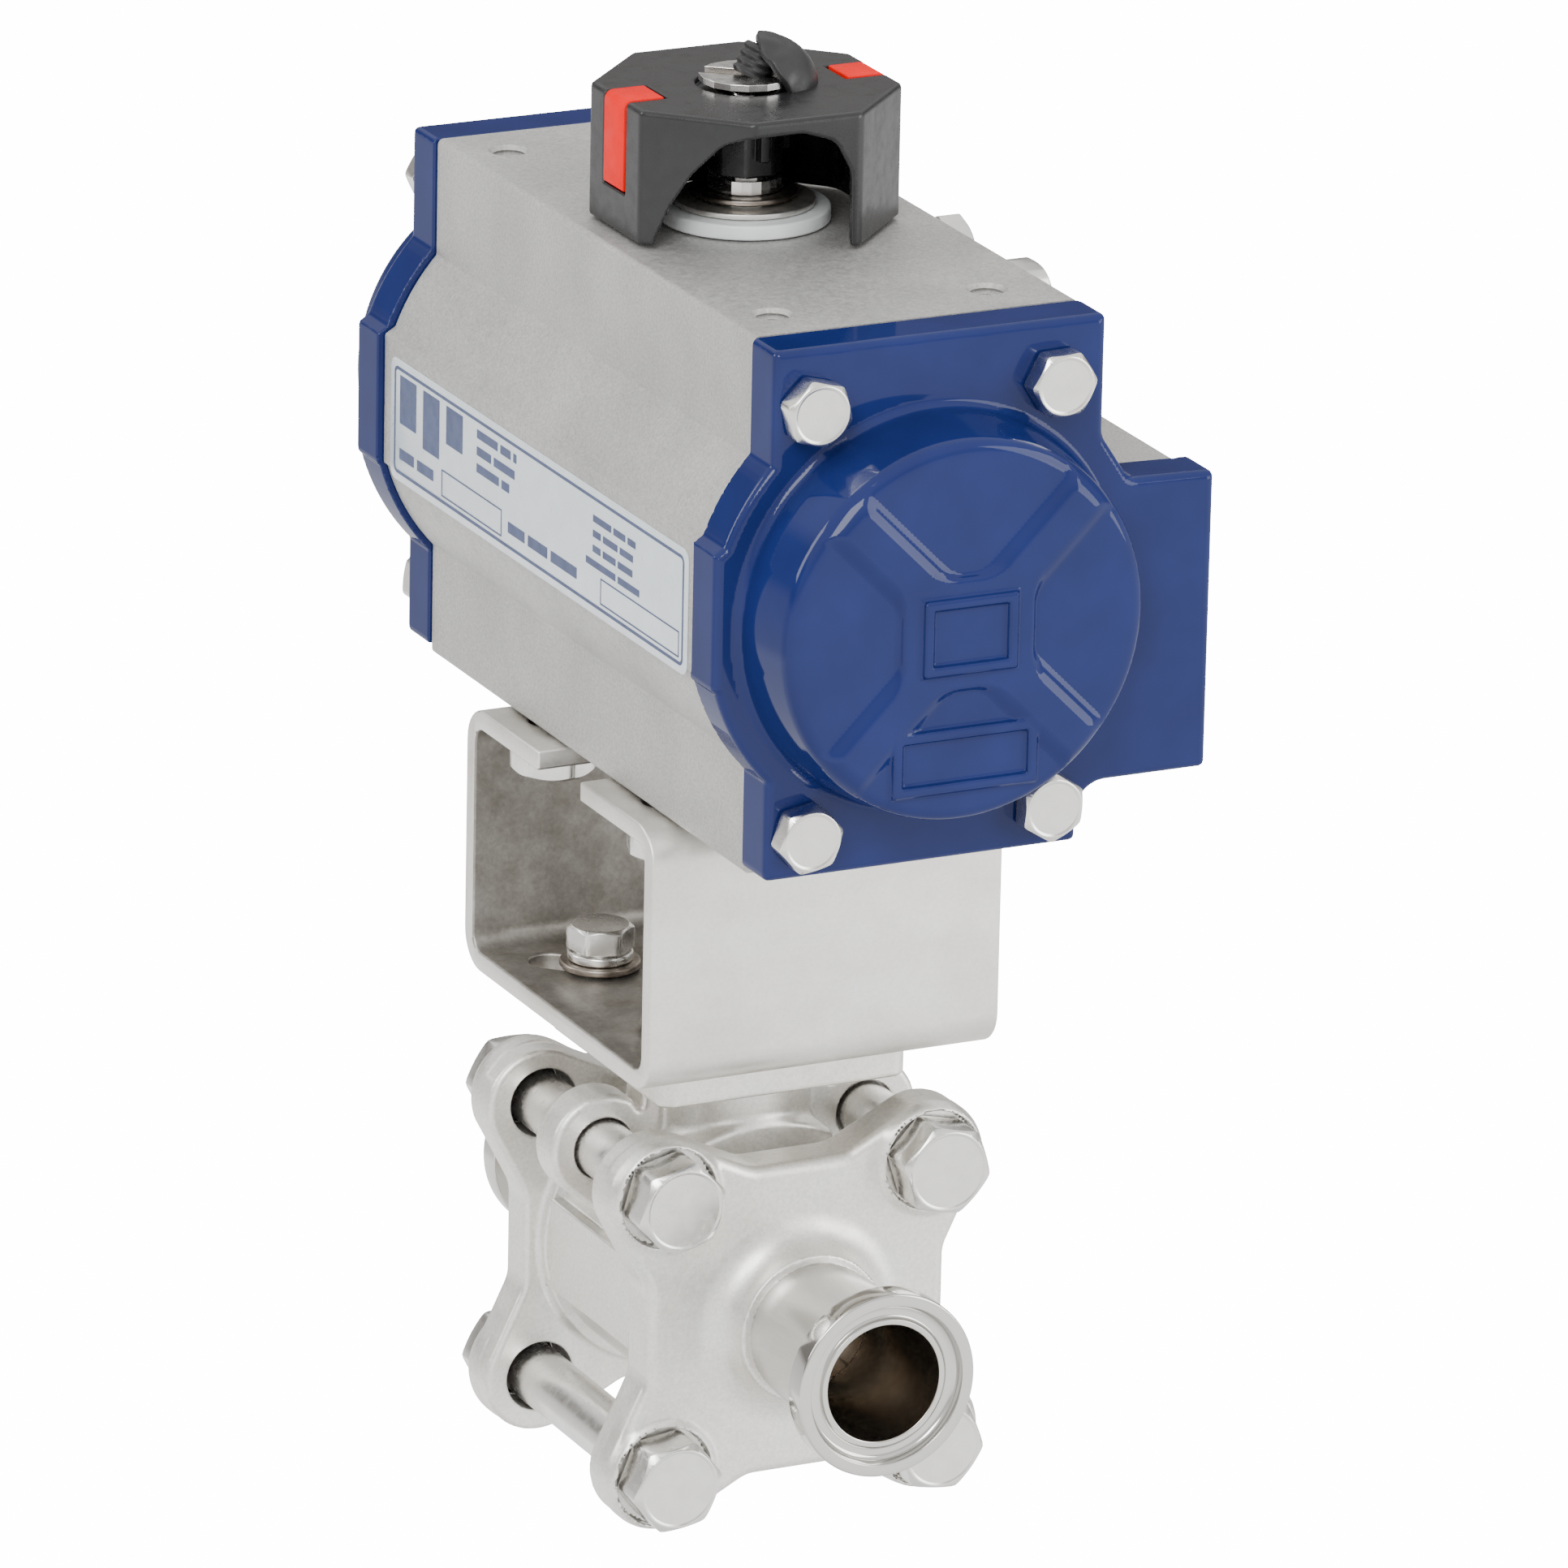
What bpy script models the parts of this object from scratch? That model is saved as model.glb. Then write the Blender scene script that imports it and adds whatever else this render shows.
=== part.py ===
"""Pneumatic actuated ball valve: a spring-return rack-and-pinion actuator on a folded bracket,
turning a three-piece ball valve with clamp ferrules.

Frame: +Z up. The flow axis runs along Y at z = 0. The origin is the centre of the front (inlet)
ferrule's face and the valve reaches towards +Y, so the stem axis is the vertical line at
y = FLOW_HALF. The air-port pad is on the +X side. Every mesh is made round the stem axis and
hangs on one empty that stands there.

Every length in this file is in millimetres, and solid() makes the meshes in metres.
"""

import math

import bmesh
import bpy
from mathutils import Matrix, Vector

MM = 0.001
GAP = 0.3                      # clearance between pieces that rest on one another
HOLE_GAP = 0.2                 # radial clearance of a fastener in its hole
OVERCUT = 1.0                  # how far a cutter runs past the face it opens

# Flow path and heights above the flow axis
FLOW_HALF = 49.5               # stem axis to ferrule face
PAD_TOP = 35.5                 # top of the valve's mounting pad
BODY_BOTTOM = 72.2
BODY_TOP = 143.0
BORE_Z = 107.3                 # axis of the actuator's cylinder

# Actuator
CYLINDER_R = 26.0
BODY_HALF = 48.3               # half length of the extruded body
SEAM_Y = BODY_HALF + GAP       # the caps start here
FLANGE_Y = 55.7                # outer face of a cap's flange
BOSS_Y = 68.4                  # outer face of a cap's round boss
BOSS_R = 24.6
BOSS_ROOT_R = 26.3
CAP_WALL = 3.0
CAP_BOTTOM = 73.3              # a cap stops a little short of the body's underside
CAP_HOLLOW_R = 21.5
CAP_BOLT_X = 17.0
CAP_BOLT_Z = 28.0
TOP_HOLES = (15.0, 40.0)       # accessory holes, half pattern of 30 x 80
CAP_STEP = 0.9                 # how far a cap stands outside the body's outline
PAD_FACE_X = 39.3              # air-port pad on the right
PAD_MID_Z = BORE_Z - 6.3
PORT_HALF_PITCH = 12.0

# Gear train: 16 teeth, pistons travel a quarter turn of the pitch circle
PITCH_R = 11.0
TEETH = 16
MODULE = 2 * PITCH_R / TEETH
PRESSURE = math.radians(20)
RACK_PITCH = math.pi * MODULE
ADDENDUM = 0.8 * MODULE
DEDENDUM = 1.25 * MODULE
BACKLASH = 0.15                # taken off each flank at the pitch line
GEAR_Z = (94.0, 121.0)
PISTON_IN_Y = 22.5             # a piston's inner face at rest
PISTON_THICK = 7.0
PISTON_R = CYLINDER_R - 0.3
ARM_HALF_Z = 11.0
ARM_BACK_X = 20.5
SPRING_R = 15.0
WIRE_R = 1.5

# Shaft above and below the gear
LOWER_JOURNAL_R = 9.3
UPPER_JOURNAL_R = 6.0
NECK_R = 5.0
DRIVE_SQUARE = 11.0

# Travel stops
STOP_Y = 11.2
STOP_Z = BODY_TOP - 11.8
STOP_R = 3.0
STOP_TIP_X = 2.8
STOP_END_X = 37.0
STOP_HEAD = 4.0
NUT_FACE_X = 24.7
CAM_Z = (BODY_TOP - 14.5, BODY_TOP - 9.5)
CAM_R = 14.3

# Indicator
IND_Z = (BODY_TOP + 0.5, BODY_TOP + 18.2)
IND_FLAT = 18.5                # centre to flat of the octagon
IND_WALL = 2.3
IND_CEILING = IND_Z[1] - 2.6
HUB_FLAT = 4.7

# Bracket
BRACKET_Z = (PAD_TOP + GAP, BODY_BOTTOM - GAP)
BRACKET_X = 25.0
BRACKET_Y = 29.0
SHEET = 2.7
BEND_R = 5.0                   # outside radius of each bend
BRACKET_SLOT = 6.5             # half width of the slot along its top
ACT_BOLT = 17.7                # F05: four M6 on a 50 mm circle
ACT_BOLT_R = 2.5               # core radius of their threads
VALVE_BOLT = 12.7              # F03: four M5 on a 36 mm circle

# Ball valve
VALVE_BOLT_X = 19.0
VALVE_BOLT_Z = 19.3
EAR_R = 7.7
WAIST = 21.4
END_Y = (14.2, 22.7)           # an end piece's flange, from the stem axis outwards
DRUM_HALF = 13.9
DRUM_R = 19.6
PORT_R = 7.9
TUBE_R = 9.5
FERRULE_R = 12.6
BALL_R = 13.5
CAVITY_R = 14.2
PAD_THICK = 6.1
VALVE_HEX = 11.3               # width over flats of the long bolts' heads and nuts
POCKET_HEX = 12.1              # width over flats of the pockets round the heads

# Materials: colour, roughness, metallic
FINISHES = {
    "anodised": ((0.47, 0.47, 0.45), 0.55, 0.6),
    "blue_coat": ((0.045, 0.07, 0.30), 0.25, 0.0),
    "cast_steel": ((0.72, 0.71, 0.68), 0.42, 0.9),
    "sheet_steel": ((0.66, 0.65, 0.62), 0.40, 0.9),
    "bright_steel": ((0.76, 0.75, 0.71), 0.22, 1.0),
    "dark_steel": ((0.16, 0.14, 0.12), 0.35, 0.9),
    "black_plastic": ((0.025, 0.025, 0.028), 0.45, 0.0),
    "black_rubber": ((0.02, 0.02, 0.022), 0.70, 0.0),
    "red_plastic": ((0.85, 0.03, 0.03), 0.40, 0.0),
    "white_plastic": ((0.80, 0.82, 0.82), 0.40, 0.0),
    "bearing_plastic": ((0.62, 0.60, 0.52), 0.50, 0.0),
    "piston_alloy": ((0.60, 0.60, 0.60), 0.40, 0.9),
    "spring_steel": ((0.30, 0.31, 0.33), 0.35, 0.9),
}


# ---------------------------------------------------------------- helpers

def material(name):
    """The named finish as a Principled BSDF material, made once."""
    found = bpy.data.materials.get(name)
    if found:
        return found
    colour, roughness, metallic = FINISHES[name]
    made = bpy.data.materials.new(name)
    made.use_nodes = True
    shader = made.node_tree.nodes["Principled BSDF"]
    shader.inputs["Base Color"].default_value = (*colour, 1.0)
    shader.inputs["Roughness"].default_value = roughness
    shader.inputs["Metallic"].default_value = metallic
    made.diffuse_color = (*colour, 1.0)
    return made


def point(axis, u, v, w):
    """A point with w along the named axis and (u, v) across it, in X, Y, Z order."""
    if axis == "x":
        return Vector((w, u, v))
    if axis == "y":
        return Vector((u, w, v))
    return Vector((u, v, w))


def arc(centre, radius, start, end, steps):
    """Points of an arc, its angles in degrees."""
    points = []
    for index in range(steps + 1):
        angle = math.radians(start + (end - start) * index / steps)
        points.append((centre[0] + radius * math.cos(angle), centre[1] + radius * math.sin(angle)))
    return points


def loft(loops):
    """A closed solid through a stack of loops with equal numbers of points."""
    mesh = bmesh.new()
    rings = []
    for loop in loops:
        rings.append([mesh.verts.new(place) for place in loop])
    for lower, upper in zip(rings, rings[1:]):
        for index in range(len(lower)):
            following = (index + 1) % len(lower)
            mesh.faces.new((lower[index], lower[following], upper[following], upper[index]))
    mesh.faces.new(rings[0])
    mesh.faces.new(rings[-1])
    return mesh


def prism(outline, axis, low, high):
    """An outline in the plane across the axis, extruded from low to high."""
    return loft([[point(axis, u, v, w) for u, v in outline] for w in (low, high)])


def box(low, high):
    """A box between two corners."""
    outline = [(low[0], low[1]), (high[0], low[1]), (high[0], high[1]), (low[0], high[1])]
    return prism(outline, "z", low[2], high[2])


def hexagon(across_flats):
    """The radius of a hexagon by angle, with a corner at angle 0."""
    def radius(angle):
        return across_flats / 2 / math.cos(angle % math.radians(60) - math.radians(30))
    return radius


def square(side):
    """The radius of a square by angle, with its sides across the axes."""
    def radius(angle):
        return side / 2 / max(abs(math.cos(angle)), abs(math.sin(angle)))
    return radius


def two_flats(round_radius, half_width):
    """The radius of a circle with two flats that face along u."""
    def radius(angle):
        across = abs(math.cos(angle))
        if across * round_radius <= half_width:
            return round_radius
        return half_width / across
    return radius


def turned(axis, sections, count=24, centre=(0.0, 0.0)):
    """A solid through sections (w, shape), a shape being a radius or a radius by angle."""
    loops = []
    for along, shape in sections:
        loop = []
        for index in range(count):
            angle = 2 * math.pi * index / count
            radius = shape(angle) if callable(shape) else shape
            u = centre[0] + radius * math.cos(angle)
            v = centre[1] + radius * math.sin(angle)
            loop.append(point(axis, u, v, along))
        loops.append(loop)
    return loft(loops)


def rod(axis, radius, low, high, centre=(0.0, 0.0), count=16):
    """A plain round rod, mostly used as a cutter."""
    return turned(axis, [(low, radius), (high, radius)], count, centre)


def bolt_hole(axis, radius, low, high, centre):
    """Cutter for a fastener's hole: eight sides, each at least the radius away."""
    return rod(axis, radius / math.cos(math.pi / 8), low, high, centre, 8)


def ring(axis, profile, count=24, centre=(0.0, 0.0), sweep=360.0):
    """A closed (radius, along) profile turned about the axis, by a full or a part turn."""
    mesh = bmesh.new()
    full = sweep >= 360.0
    steps = count if full else count + 1
    columns = []
    for index in range(steps):
        angle = math.radians(sweep) * index / count
        column = []
        for radius, along in profile:
            u = centre[0] + radius * math.cos(angle)
            v = centre[1] + radius * math.sin(angle)
            column.append(mesh.verts.new(point(axis, u, v, along)))
        columns.append(column)
    for index in range(count):
        here = columns[index]
        there = columns[(index + 1) % steps]
        for corner in range(len(profile)):
            following = (corner + 1) % len(profile)
            mesh.faces.new((here[corner], here[following], there[following], there[corner]))
    if not full:
        mesh.faces.new(columns[0])
        mesh.faces.new(columns[-1])
    return mesh


def tube(axis, inner, outer, low, high, count=24, centre=(0.0, 0.0)):
    """A plain ring of rectangular section."""
    profile = [(inner, low), (outer, low), (outer, high), (inner, high)]
    return ring(axis, profile, count, centre)


def together(*meshes):
    """Several separate shapes as one mesh."""
    whole = meshes[0]
    for other in meshes[1:]:
        spare = bpy.data.meshes.new("spare")
        other.to_mesh(spare)
        other.free()
        whole.from_mesh(spare)
        bpy.data.meshes.remove(spare)
    return whole


def moved(mesh, matrix):
    """A mesh carried by a matrix."""
    mesh.transform(matrix)
    return mesh


def as_object(name, mesh):
    """Link a bmesh, in millimetres, as an object in metres."""
    bmesh.ops.recalc_face_normals(mesh, faces=mesh.faces)
    mesh.transform(Matrix.Scale(MM, 4))
    data = bpy.data.meshes.new(name)
    mesh.to_mesh(data)
    mesh.free()
    made = bpy.data.objects.new(name, data)
    bpy.context.scene.collection.objects.link(made)
    return made


def combine(target, operation, mesh):
    """Apply one exact Boolean of a bmesh to an object and drop the tool."""
    tool = as_object("tool", mesh)
    step = target.modifiers.new(operation.lower(), "BOOLEAN")
    step.operation = operation
    step.solver = "EXACT"
    step.object = tool
    graph = bpy.context.evaluated_depsgraph_get()
    result = bpy.data.meshes.new_from_object(target.evaluated_get(graph))
    target.modifiers.clear()
    old = target.data
    target.data = result
    result.name = target.name
    bpy.data.meshes.remove(old)
    bpy.data.objects.remove(tool)


def solid(name, mesh, finish, cuts=(), adds=(), origin=(0.0, 0.0, 0.0)):
    """Make a piece: its mesh, then what is joined on, then what is cut out.

    origin is the piece's own origin, given round the stem axis in millimetres.
    """
    made = as_object(name, mesh)
    for extra in adds:
        combine(made, "UNION", extra)
    for cutter in cuts:
        combine(made, "DIFFERENCE", cutter)
    offset = Vector(origin) * MM
    made.data.transform(Matrix.Translation(-offset))
    made.location = offset
    made.parent = bpy.data.objects["stem_axis"]
    made.data.materials.clear()
    made.data.materials.append(material(finish))
    made.data.shade_smooth()
    made.data.set_sharp_from_angle(angle=math.radians(35))
    return made


def corners(half_u, half_v):
    """The four corners of a rectangle, in reading order from the front left."""
    return [(-half_u, -half_v), (half_u, -half_v), (-half_u, half_v), (half_u, half_v)]


def hex_bolt(axis, across, head, shank_r, length, seat, centre, outward):
    """A hex bolt as one solid. seat is where the head's underside is, and outward is +1 or -1."""
    chamfer = 0.94 * across / 2
    sections = [
        (seat - outward * length, shank_r - 0.4),
        (seat - outward * (length - 0.8), shank_r),
        (seat, shank_r),
        (seat, hexagon(across)),
        (seat + outward * (head - 0.5), hexagon(across)),
        (seat + outward * head, chamfer),
    ]
    return turned(axis, sections, 12, centre)


def hex_nut(axis, across, hole_r, low, high, centre):
    """A hex nut with its bore."""
    mesh = turned(axis, [(low, hexagon(across)), (high, hexagon(across))], 12, centre)
    return mesh, rod(axis, hole_r, low - OVERCUT, high + OVERCUT, centre, 12)


# ---------------------------------------------------------------- actuator housing

def section_outline(inset, low):
    """Cross-section of the actuator, shared by the body and, a little larger, by the caps.

    Points are (x, z) with z from the cylinder's axis, and low is the height of the underside.
    """
    bulge_r = 30.2 - inset
    left = 21.9 - 0.5 * inset
    bulge = 29.6 - inset
    top = BODY_TOP - BORE_Z
    bottom = BORE_Z - low
    right = 24.2 - 0.5 * inset
    pad_face = PAD_FACE_X + CAP_STEP - inset
    pad_top = 13.2 - inset
    pad_bottom = 26.4 - inset
    outline = [(-left, top), (right, top), (right, 19.5)]
    outline += [(28.2, pad_top + 0.6), (29.2, pad_top), (pad_face, pad_top)]
    outline += [(pad_face, -pad_bottom), (26.0, -pad_bottom)]
    outline += arc((26.0, -pad_bottom - 4.1), 4.1, 105, 180, 3)
    outline += [(left, -bottom), (-left, -bottom)]
    lower = math.degrees(math.acos(left / bulge_r)) + 180
    shoulder = math.degrees(math.asin(10.8 / bulge_r))
    outline += arc((0, 0), bulge_r, lower, 196.0, 4)
    outline += [(-bulge, -7.8), (-bulge, 9.9)]
    outline += arc((0, 0), bulge_r, 180 - shoulder, 360 - lower, 4)
    return outline


def raised(outline):
    """The same outline with z measured from the flow axis."""
    return [(x, z + BORE_Z) for x, z in outline]


def actuator_body():
    """Extruded body: cylinder, pinion bore, accessory holes, bolt holes, stops and air ports."""
    mesh = prism(raised(section_outline(CAP_STEP, BODY_BOTTOM)), "y", -BODY_HALF, BODY_HALF)
    bore = rod("y", CYLINDER_R, -BODY_HALF - OVERCUT, BODY_HALF + OVERCUT, (0, BORE_Z), 36)
    lower = rod("z", 11.9, BODY_BOTTOM - OVERCUT, BORE_Z - 20, count=24)
    upper = turned("z", [(BORE_Z + 18, CAM_R + 0.9), (CAM_Z[1] + 1.0, CAM_R + 0.9),
                         (CAM_Z[1] + 1.0, 8.3), (BODY_TOP + OVERCUT, 8.3)], 24)
    small = []
    for x, y in corners(*TOP_HOLES):
        small.append(rod("z", 2.2, BODY_TOP - 5, BODY_TOP + OVERCUT, (x, y), 12))
    for x, y in corners(ACT_BOLT, ACT_BOLT):
        small.append(bolt_hole("z", ACT_BOLT_R + HOLE_GAP, BODY_BOTTOM - OVERCUT, BODY_BOTTOM + 10, (x, y)))
    for side in (-1, 1):
        for x, z in corners(CAP_BOLT_X, CAP_BOLT_Z):
            start, end = sorted((side * (BODY_HALF - 11), side * (BODY_HALF + OVERCUT)))
            small.append(bolt_hole("y", 2.7, start, end, (x, z + BORE_Z)))
        small.append(rod("x", STOP_R + HOLE_GAP, 5, PAD_FACE_X, (side * STOP_Y, STOP_Z), 12))
        port = (side * PORT_HALF_PITCH, PAD_MID_Z)
        small.append(rod("x", 4.4, 22, PAD_FACE_X + OVERCUT, port, 16))
    for y, z in corners(16, 12):
        start = PAD_FACE_X - 8
        small.append(rod("x", 2.1, start, PAD_FACE_X + OVERCUT, (y, z + PAD_MID_Z), 10))
    solid("actuator_body", mesh, "anodised", cuts=[bore, together(lower, upper), together(*small)])


def sector(side_angle):
    """One sunken sector of a cap's face: between two ribs, open to the rim."""
    rib = 3.6
    reach = BOSS_R + OVERCUT
    tip = 7.6
    outline = []
    half = 45 - math.degrees(math.asin(rib / reach))
    outline += arc((0, 0), reach, side_angle - half, side_angle + half, 6)
    turn = math.radians(side_angle)
    across = tip - rib * math.sqrt(2)
    for offset in (across, -across):
        u = tip * math.cos(turn) - offset * math.sin(turn)
        v = tip * math.sin(turn) + offset * math.cos(turn)
        outline.append((u, v))
    return [(u, v + BORE_Z) for u, v in outline]


def end_cap(name, side):
    """A cap: flange in the body's outline, round boss, and a hollow that seats the spring."""
    def along(a, b):
        return sorted((side * a, side * b))
    mesh = prism(raised(section_outline(0.0, CAP_BOTTOM)), "y", *along(SEAM_Y, FLANGE_Y))
    sections = [
        (side * (SEAM_Y + 2), BOSS_ROOT_R),
        (side * FLANGE_Y, BOSS_ROOT_R),
        (side * (BOSS_Y - 1.2), BOSS_R),
        (side * BOSS_Y, BOSS_R - 1.2),
    ]
    boss = turned("y", sections, 36, (0, BORE_Z))
    hollow = rod("y", CAP_HOLLOW_R, *along(SEAM_Y - OVERCUT, BOSS_Y - CAP_WALL), (0, BORE_Z), 24)
    holes = []
    for x, z in corners(CAP_BOLT_X, CAP_BOLT_Z):
        place = (x, z + BORE_Z)
        holes.append(bolt_hole("y", 2.7, *along(SEAM_Y - OVERCUT, FLANGE_Y + OVERCUT), place))
    relief = []
    for angle in (0, 90, 180, 270):
        relief.append(prism(sector(angle), "y", *along(BOSS_Y - 0.7, BOSS_Y + OVERCUT)))
    cuts = [hollow, together(*holes), together(*relief)]
    solid(name, mesh, "blue_coat", adds=[boss], cuts=cuts)


def cap_bolts():
    """Four hex bolts through each end cap."""
    for word, side in (("front", -1), ("rear", 1)):
        for index, (x, z) in enumerate(corners(CAP_BOLT_X, CAP_BOLT_Z), 1):
            seat = side * (FLANGE_Y + GAP / 2)
            mesh = hex_bolt("y", 8.0, 3.3, 2.5, 16.0, seat, (x, z + BORE_Z), side)
            solid(f"{word}_cap_bolt_{index}", mesh, "bright_steel")


def shaft_bushes():
    """Plastic bushes that guide the pinion in the body."""
    lower = tube("z", LOWER_JOURNAL_R + GAP, 11.6, BODY_BOTTOM + 0.6, BODY_BOTTOM + 9.0)
    solid("lower_pinion_bush", lower, "bearing_plastic")
    solid("upper_pinion_bush", tube("z", 6.3, 8.0, BODY_TOP - 8.6, BODY_TOP - 0.4), "bearing_plastic")


# ---------------------------------------------------------------- shaft and what turns with it

def pinion_outline():
    """Involute teeth round the pitch circle, with a tooth space at angle 0."""
    base_r = PITCH_R * math.cos(PRESSURE)
    tip_r = PITCH_R + ADDENDUM
    root_r = PITCH_R - ADDENDUM - 0.35
    half_at_pitch = (RACK_PITCH / 4 - BACKLASH) / PITCH_R

    def involute(radius):
        angle = math.acos(base_r / radius)
        return math.tan(angle) - angle

    radii = [root_r, base_r, PITCH_R, tip_r]
    halves = []
    for radius in radii:
        halves.append(half_at_pitch + involute(PITCH_R) - involute(max(radius, base_r)))
    outline = []
    for tooth in range(TEETH):
        middle = 2 * math.pi * (tooth + 0.5) / TEETH
        flank = list(zip(radii, halves))
        for radius, half in flank:
            outline.append((radius * math.cos(middle - half), radius * math.sin(middle - half)))
        for radius, half in reversed(flank):
            outline.append((radius * math.cos(middle + half), radius * math.sin(middle + half)))
    return outline


def pinion_shaft():
    """Pinion and shaft in one piece, with a square socket below and flats above."""
    gear = prism(pinion_outline(), "z", *GEAR_Z)
    flats = two_flats(NECK_R, 3.75)
    tip = two_flats(3.6, 2.9)
    sections = [
        (BODY_BOTTOM + 0.3, LOWER_JOURNAL_R),
        (CAM_Z[0] - 0.6, LOWER_JOURNAL_R),
        (CAM_Z[0] - 0.6, UPPER_JOURNAL_R),
        (BODY_TOP - 0.1, UPPER_JOURNAL_R),
        (BODY_TOP - 0.1, NECK_R),
        (BODY_TOP + 3.3, NECK_R),
        (BODY_TOP + 3.3, NECK_R - 0.5),
        (BODY_TOP + 4.5, NECK_R - 0.5),
        (BODY_TOP + 4.5, NECK_R),
        (BODY_TOP + 4.9, NECK_R),
        (BODY_TOP + 4.9, flats),
        (BODY_TOP + 6.2, flats),
        (BODY_TOP + 6.2, tip),
        (IND_CEILING, tip),
    ]
    core = turned("z", sections, 24)
    side = DRIVE_SQUARE + 2 * HOLE_GAP
    socket = turned("z", [(BODY_BOTTOM - 1, square(side)), (BODY_BOTTOM + 14, square(side))], 8)
    screw_hole = rod("z", 2.2, IND_CEILING - 9, IND_CEILING + OVERCUT, count=12)
    solid("pinion_shaft", core, "bright_steel", adds=[gear], cuts=[together(socket, screw_hole)])


def stop_cam():
    """Quarter-sector cam: its two flanks meet the tips of the travel-stop screws."""
    flank = STOP_TIP_X - GAP
    start = math.degrees(math.acos(flank / CAM_R))
    hub_r = 8.2
    hub_start = math.degrees(math.acos(flank / hub_r))
    outline = arc((0, 0), CAM_R, start, 270 - start, 8)
    outline += arc((0, 0), hub_r, 270 - hub_start, 360 + hub_start, 12)
    mesh = prism(outline, "z", *CAM_Z)
    bore = rod("z", UPPER_JOURNAL_R + GAP, CAM_Z[0] - OVERCUT, CAM_Z[1] + OVERCUT, count=24)
    solid("stop_cam", mesh, "bright_steel", cuts=[bore])


def shaft_rings():
    """White thrust ring on the body, bright washer and dark snap ring above it."""
    base = BODY_TOP
    solid("thrust_ring", tube("z", 5.3, 11.2, base + 0.2, base + 2.2, 24), "white_plastic")
    solid("thrust_washer", tube("z", 5.3, 7.9, base + 2.4, base + 3.1, 24), "bright_steel")
    profile = [(4.8, base + 3.5), (6.9, base + 3.5), (6.9, base + 4.3), (4.8, base + 4.3)]
    solid("snap_ring", ring("z", profile, 24, sweep=325.0), "dark_steel")


def octagon(flat):
    """An octagon by its centre-to-flat distance, its flats facing along X and Y."""
    corner = flat / math.cos(math.pi / 8)
    outline = []
    for index in range(8):
        angle = math.pi / 8 + index * math.pi / 4
        outline.append((corner * math.cos(angle), corner * math.sin(angle)))
    return outline


def insert_outline(side, slack):
    """L-shaped (x, z) outline of an indicator insert, on the left or right flat."""
    outer = IND_FLAT + 0.15
    top = IND_Z[1] + 0.1
    inner = outer - 1.3 - slack
    under = top - 1.2 - slack
    reach = outer - 5.6 - slack
    foot = top - 12.0 - slack
    points = [(outer, foot), (outer, top - 0.9), (outer - 0.9, top)]
    points += [(reach, top), (reach, under), (inner, under), (inner, foot)]
    return [(side * x, z) for x, z in points]


def indicator_cap():
    """Eight-sided hollow cap with a hub and an arch cut through its front left side."""
    low, top = IND_Z
    mesh = loft([
        [point("z", x, y, low) for x, y in octagon(IND_FLAT)],
        [point("z", x, y, top - 1.0) for x, y in octagon(IND_FLAT)],
        [point("z", x, y, top) for x, y in octagon(IND_FLAT - 0.9)],
    ])
    hub_low = BODY_TOP + 6.6
    below_hub = prism(octagon(IND_FLAT - IND_WALL), "z", low - OVERCUT, hub_low)
    wall_r = (IND_FLAT - IND_WALL) / math.cos(math.pi / 8)
    hub_r = HUB_FLAT / math.cos(math.pi / 8)
    around = [(hub_r, hub_low - 0.5), (wall_r, hub_low - 0.5), (wall_r, IND_CEILING), (hub_r, IND_CEILING)]
    around_hub = moved(ring("z", around, 8), Matrix.Rotation(math.pi / 8, 4, "Z"))
    hole = rod("z", 3.9, low - OVERCUT, top + OVERCUT, count=16)
    arch = [(-12.3, low - OVERCUT), (-12.1, low + 1.0), (-10.0, top - 12.0), (-8.6, top - 8.6)]
    arch += [(-6.5, top - 5.6), (-3.6, top - 3.2), (0.0, top - 2.1), (6.4, top - 2.0)]
    arch += [(10.4, top - 3.4), (12.6, top - 7.0), (12.9, low - OVERCUT)]
    opening = prism(arch, "y", -25.0, -11.0)
    moved(opening, Matrix.Rotation(math.radians(-22.5), 4, "Z"))
    recesses = []
    for side in (-1, 1):
        recesses.append(prism(insert_outline(side, 0.25), "y", -3.25, 3.25))
    cuts = [below_hub, around_hub, hole, opening, together(*recesses)]
    solid("indicator_cap", mesh, "black_plastic", cuts=cuts)


def indicator_parts():
    """Red inserts, the screw that holds the cap, and the dome plug above it."""
    for word, side in (("left", -1), ("right", 1)):
        mesh = prism(insert_outline(side, 0.0), "y", -3.0, 3.0)
        solid(f"indicator_insert_{word}", mesh, "red_plastic")
    top = IND_Z[1]
    sections = [
        (IND_CEILING - 8, 1.9),
        (top + GAP, 1.9),
        (top + GAP, 5.6),
        (top + GAP + 0.9, 5.6),
    ]
    solid("indicator_screw", turned("z", sections, 16), "bright_steel")
    dome = [(0.0, 2.6), (2.6, 2.6), (2.6, 6.4), (3.3, 6.2), (4.6, 4.6), (5.3, 2.0)]
    plug = turned("z", dome, 16)
    moved(plug, Matrix.Rotation(math.radians(20), 4, "Y"))
    moved(plug, Matrix.Translation((0.6, 0.0, top + GAP + 2.6)))
    solid("indicator_plug", plug, "black_rubber")


def drive_coupling():
    """Round coupling: square tongue up into the pinion, slot down over the valve stem."""
    low = 44.0
    shoulder = BODY_BOTTOM - 1.5
    sections = [
        (low, 8.2),
        (low + 0.8, 9.0),
        (shoulder, 9.0),
        (shoulder, square(DRIVE_SQUARE)),
        (BODY_BOTTOM + 13, square(DRIVE_SQUARE)),
    ]
    slot = turned("z", [(low - 1, two_flats(5.0, 3.75)), (low + 10, two_flats(5.0, 3.75))], 24)
    solid("drive_coupling", turned("z", sections, 24), "bright_steel", cuts=[slot])


# ---------------------------------------------------------------- pistons and springs

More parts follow.
